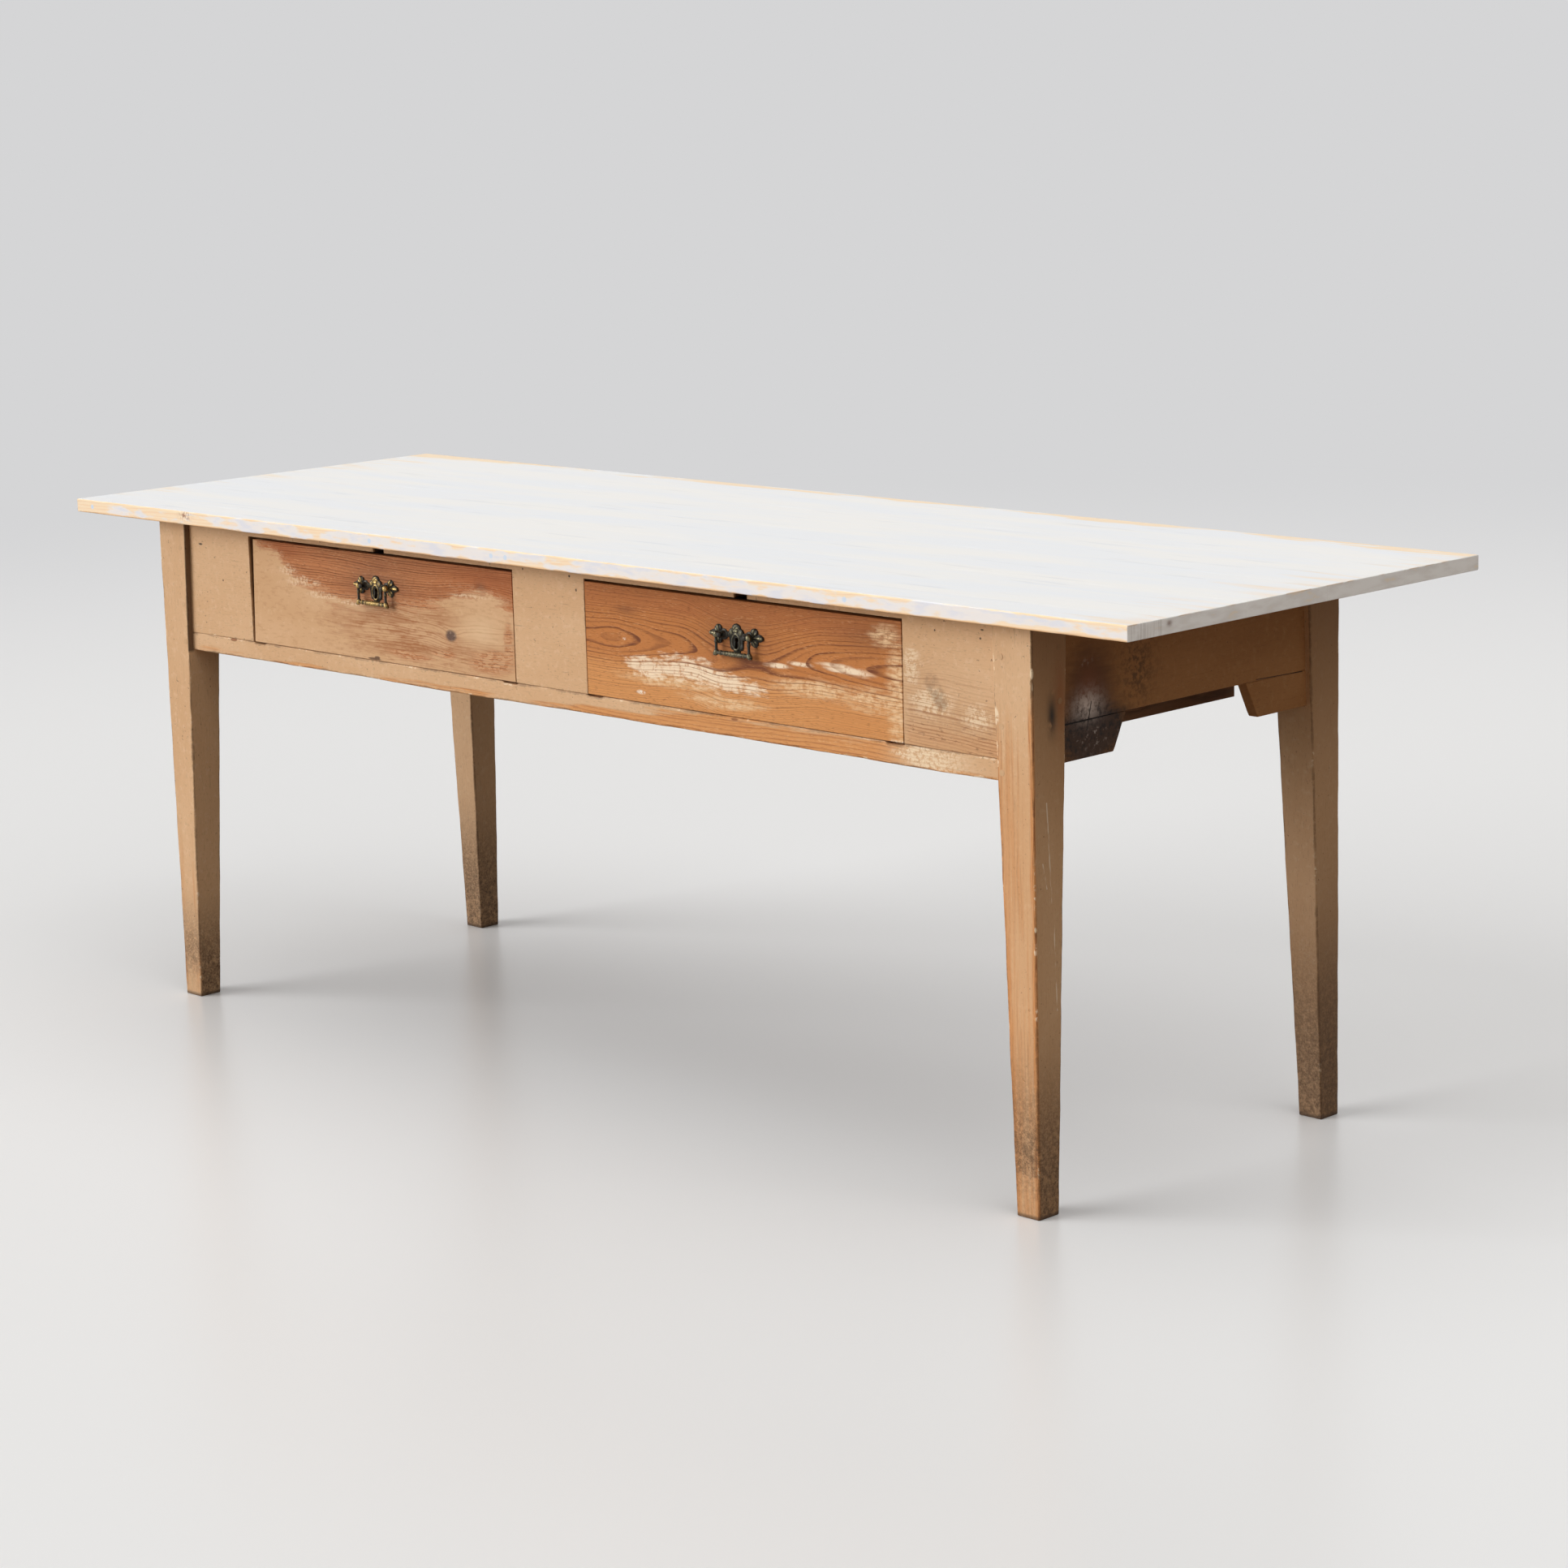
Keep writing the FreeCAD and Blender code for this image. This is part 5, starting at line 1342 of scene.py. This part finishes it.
def plate_relief(across, up):
    """The highest of the ellipses' domes, with a ridge round the keyhole, scrolls, veins and beads on top.

    The ridge is a bell curve of the distance from an oval. Veins and scrolls are cosines of an angle about
    a centre, and beads are a cosine along the arm.
    """
    side = np.abs(across)
    middle, height, wide, tall, dome = PLATE_ELLIPSES.T
    share = ((side[..., None] - middle) / wide) ** 2 + ((up[..., None] - height) / tall) ** 2
    relief = (dome * np.sqrt(np.clip(1 - share, 0, None))).max(axis=-1)
    oval = np.sqrt((across / 9.0) ** 2 + ((up + 2.5) / 13.0) ** 2)
    ridge = 1.3 * np.exp(-((oval - 0.78) / 0.12) ** 2) - 1.4 * np.exp(-((oval - 0.42) / 0.22) ** 2)
    out = np.hypot(up - 14.0, side - 3.0)
    scrolls = 0.8 * np.cos(2 * np.arctan2(up - 14.0, side - 3.0) + out * 1.5)
    scrolls = scrolls * np.exp(-((up - 14.0) / 6.0) ** 2 - (across / 9.0) ** 2)
    leaf = np.clip((side - 26.0) / 4.0, 0, 1)
    veins = 0.8 * np.cos(11 * np.arctan2(up - 6.0, side - 29.0)) * leaf
    beads = 0.5 * np.cos(2 * np.pi * side / 3.2) * (side > 12.0) * (side < 21.0)
    return np.clip(relief + ridge + scrolls + veins + beads, 0, None) + RIM_THICKNESS


print("ellipses in half a plate:", len(PLATE_ELLIPSES))

# %% The plate as a mesh
KEYHOLE_RADIUS = 3.5
SLOT_HALF = 2.3
SLOT_DROP = 11.0
PLATE_ROWS = 30


def handle_plate(name, centre, key_height, back, material):
    """Two bands of rings, above and below the keyhole; each ring runs over the front and the back."""
    half = PLATE_ELLIPSES[-1, 0] + PLATE_ELLIPSES[-1, 2] - 0.02
    crowd = np.sin(np.linspace(-1, 1, 201) * np.pi / 2) * half
    key_lines = np.array([SLOT_HALF - 0.02, SLOT_HALF + 0.02, KEYHOLE_RADIUS - 0.02, KEYHOLE_RADIUS + 0.02])
    across = np.unique(np.concatenate([np.linspace(-half, half, 241), crowd, key_lines, -key_lines]))
    low, high = plate_limits(across)
    hole_top = np.sqrt(np.clip(KEYHOLE_RADIUS ** 2 - across ** 2, 0, None))
    hole_low = np.where(np.abs(across) < SLOT_HALF, -SLOT_DROP, -hole_top)
    in_key = np.abs(across) < KEYHOLE_RADIUS
    between = (low + high) / 2
    bands = [(low, np.where(in_key, hole_low, between)), (np.where(in_key, hole_top, between), high)]
    share = (1 - np.cos(np.linspace(0, np.pi, PLATE_ROWS))) / 2
    points, faces, marks = [], [], []
    for number, (start, end) in enumerate(bands):
        up = start[:, None] + (end - start)[:, None] * share
        wide = np.broadcast_to(across[:, None], up.shape)
        relief = plate_relief(wide, up)
        near = np.stack([centre + wide * MM, back - relief * MM, key_height + up * MM], axis=-1)
        rear = np.stack([centre + wide * MM, np.full_like(up, back), key_height + up * MM], axis=-1)
        ring = np.concatenate([near, rear[:, ::-1]], axis=1)
        offset = number * ring.shape[0] * ring.shape[1]
        points.append(ring.reshape(-1, 3))
        faces += [[corner + offset for corner in face] for face in tube_faces(*ring.shape[:2])]
        rubbed = (relief - RIM_THICKNESS) / PLATE_ELLIPSES[:, 4].max()
        marks.append(np.concatenate([rubbed, np.zeros_like(rubbed)], axis=1).ravel())
    return lay_mesh(name, np.concatenate(points), faces, material, relief=np.concatenate(marks))


print("rows in a band of the plate:", PLATE_ROWS)

# %% [markdown]
# The bail is a bent bar that hangs from two posts. Each arm is a rod with a ball where it meets its
# post, a knop below and a curled foot. The grip between the arms is turned, with a row of beads in the
# middle and a reel to each side. Circles of a changing radius, carried along a path, make both, as a
# lathe would.

# %% The bail
BAIL_TURNS = 14
BALL, KNOP, FOOT = 3.9, 2.6, 3.6
ARM_RADIUS = 1.9
KNOP_PLACE = 9.0
GRIP_STEPS = np.array([0.0, 0.06, 0.10, 0.14, 0.18, 0.22, 0.30, 0.5])
GRIP_RADII = np.array([2.2, 2.4, 2.6, 3.6, 2.4, 2.8, 3.5, 4.1])
BEADS = 5


def round_bar(path, radius, depth):
    """A circle of a changing radius carried along a path in the plane of the front: rings of points."""
    step = np.gradient(path, axis=0)
    step = step / np.linalg.norm(step, axis=1, keepdims=True)
    normal = np.stack([-step[:, 1], step[:, 0]], axis=1)
    angle = np.linspace(0, 2 * np.pi, BAIL_TURNS, endpoint=False)
    flat = path[:, None] + radius[:, None, None] * np.cos(angle)[:, None] * normal[:, None]
    deep = depth + radius[:, None] * np.sin(angle)
    return np.stack([flat[..., 0], deep, flat[..., 1]], axis=-1)


def swell(place, middle, size, extra):
    """A ball on a bar: extra radius at a place, falling away over the size as a half circle does."""
    return extra * np.sqrt(np.clip(1 - ((place - middle) / size) ** 2, 0, None))


def bail_parts(centre, pivot, arm, drop):
    """The two arms and the grip of a bail about the pivot (depth, height): rings in metres, radii in mm."""
    end = drop / MM
    along = np.linspace(-4.0, end + 6.0, 120)
    curl = np.clip(along - end, 0, None)
    side = arm / MM + 2.4 * np.sin(curl * 0.5) + np.minimum(along, 0) * 0.6
    fall = np.minimum(along, end + 2.6) - 0.9 * (1 - np.cos(np.clip(curl - 2.6, 0, None) * 0.9))
    size = ARM_RADIUS + swell(along, 0.0, BALL, BALL - ARM_RADIUS)
    size = size + swell(along, KNOP_PLACE, 2.0, KNOP - ARM_RADIUS)
    size = size + swell(along, end, 4.0, FOOT - ARM_RADIUS) - 0.5 * np.clip(curl - 3, 0, None) / 3
    parts = []
    for hand in (-1, 1):
        path = np.stack([centre + hand * side * MM, pivot[1] - fall * MM], axis=1)
        parts.append((round_bar(path, size * MM, pivot[0]), size))
    share = np.linspace(0, 1, 200)
    inward = np.minimum(share, 1 - share)
    radius = np.interp(inward, GRIP_STEPS, GRIP_RADII)
    radius = radius - (inward > 0.30) * 0.7 * np.abs(np.cos(np.pi * BEADS * (share - 0.3) / 0.4))
    bar = np.stack([centre + (share * 2 - 1) * arm, np.full_like(share, pivot[1] - drop)], axis=1)
    parts.append((round_bar(bar, radius * MM, pivot[0]), radius))
    return parts


print("points round a bail's bar:", BAIL_TURNS)

# %% Handles in place
KEYHOLE_BELOW_CREST = 22 * MM
ARM_INSET = 3 * MM

for side in ("left", "right"):
    plate_low, plate_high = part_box(f"{side}_handle_plate")
    post_low, post_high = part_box(f"{side}_handle_posts")
    bail_low, bail_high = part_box(f"{side}_bail")
    key_height = plate_high.z - KEYHOLE_BELOW_CREST
    plate = handle_plate(f"cast_{side}_plate", keyhole[side], key_height, plate_high.y, brasses[side])
    dress(plate, f"drawer_{side}", "aged_brass", f"{side}_handle_plate")
    pivot = ((bail_low.y + bail_high.y) / 2, (post_low.z + post_high.z) / 2)
    arm = (bail_high.x - bail_low.x) / 2 - ARM_INSET
    drop = pivot[1] - bail_low.z - GRIP_RADII.max() * MM
    points, faces, rubs = [], [], []
    offset = 0
    for ring, radius in bail_parts(keyhole[side], pivot, arm, drop):
        faces += [[corner + offset for corner in face] for face in tube_faces(*ring.shape[:2])]
        offset += ring.shape[0] * ring.shape[1]
        points.append(ring.reshape(-1, 3))
        rubs.append(np.repeat(radius / BALL, ring.shape[1]))
    rubbed = np.concatenate(rubs)
    bail = lay_mesh(f"cast_{side}_bail", np.concatenate(points), faces, brasses[side], relief=rubbed)
    dress(bail, f"bail_{side}", "aged_brass", f"{side}_bail")
    width = (plate_high.x - plate_low.x) / MM
    print(side, "handle:", round(width, 1), "mm wide,", len(plate.data.vertices), "points in its plate")

# %% [markdown]
# ## Hidden woodwork and iron
# Runners, guides, battens and the drawers' insides were never painted. They are bare pine gone brown;
# the runners take a darker copy, painted shade for their place deep under the table.
# Screws, nails and locks are rusty iron. Most show only under the table or in an open drawer, so these
# solids keep their shape and only take a finish. The pegs in the legs are painted over, and the screws
# in the top's front edge are filled and washed over.

# %% Bare pine
BARE_ROUGHNESS = 0.75
BARE_DEPTH = 0.5 * MM


def bare_pine(name, axes, pith, pale, dark):
    """Unpainted pine, browned by age and greyed by dust."""
    finish = Finish(name, axes)
    late = ring_lines(finish, pith_count(finish, pith, 5.0, 0.02, 9.0), 9.0)
    colour = pine_colour(finish, late, pale, dark, pale)
    dust = finish.grains(0.055, 10.0, 4.0)
    colour = finish.blend(dust.smooth(0.45, 0.75) * 0.3, colour, tone(116, 92, 72))
    return finish.done(colour, BARE_ROUGHNESS, late * 0.4, BARE_DEPTH, **MATT)


bare_along_y = bare_pine("bare_pine_deep", "yxz", (0.0, 400.0), tone(168, 122, 84), tone(122, 82, 52))
# A darker copy for the runners: painted shade, as they lie deep under the table.
shaded_along_y = bare_pine("bare_pine_shaded", "yxz", (0.0, 400.0), tone(118, 82, 54), tone(84, 56, 36))
bare_along_x = bare_pine("bare_pine_wide", "xyz", (300.0, 300.0), tone(178, 134, 94), tone(132, 90, 58))

# %% Iron, pegs and filled screws
RUST_DEPTH = 0.3 * MM
finish = Finish("rusty_iron")
rust = finish.grains(0.0033, 11.0, 4.0, 0.6)
colour = finish.blend(rust.smooth(0.4, 0.65), tone(58, 52, 48), tone(98, 62, 42))
iron = finish.done(colour, rust.smooth(0.2, 0.8) * 0.3 + 0.45, rust, RUST_DEPTH, Metallic=0.7)
finish = Finish("painted_peg", "zxy")
# Painted shade: on the legs' outer end faces the pegs are made darker, as the legs are there.
outer_end = finish.place["x"].smooth(leg_high.x - 3.0 * MM, leg_high.x - 0.4 * MM)
colour = finish.blend(outer_end * 0.7, old_paint(finish, 2.0, COAT), tone(140, 98, 58))
peg_finish = finish.done(finish.blend(0.08, colour, GRIME), PAINT_ROUGHNESS, **MATT)
plug_finish = Finish("filled_screws").done(tone(214, 226, 242), PAINT_ROUGHNESS, **MATT)

# %% Finishes on the plain solids
IRON_ENDS = ("_screws", "_nails", "_lock_cap", "_lock_plate", "_lock_bolt", "_post_nuts")
LONG_IN_X = ("_drawer_back", "_drawer_bottom", "drawer_stops")
for name, item in nodes.items():
    if name.endswith("_drawer_front"):
        continue
    choice = shaded_along_y if name.startswith("runner_") else bare_along_y
    if name == "edging_screws":
        choice = plug_finish
    elif name.endswith(IRON_ENDS):
        choice = iron
    elif name == "tenon_pegs":
        choice = peg_finish
    elif name.endswith("_handle_posts"):
        choice = brasses[name.split("_")[0]]
    elif name.endswith(LONG_IN_X):
        choice = bare_along_x
    item.data.materials.clear()
    item.data.materials.append(choice)
print("finishes in all:", len(bpy.data.materials))
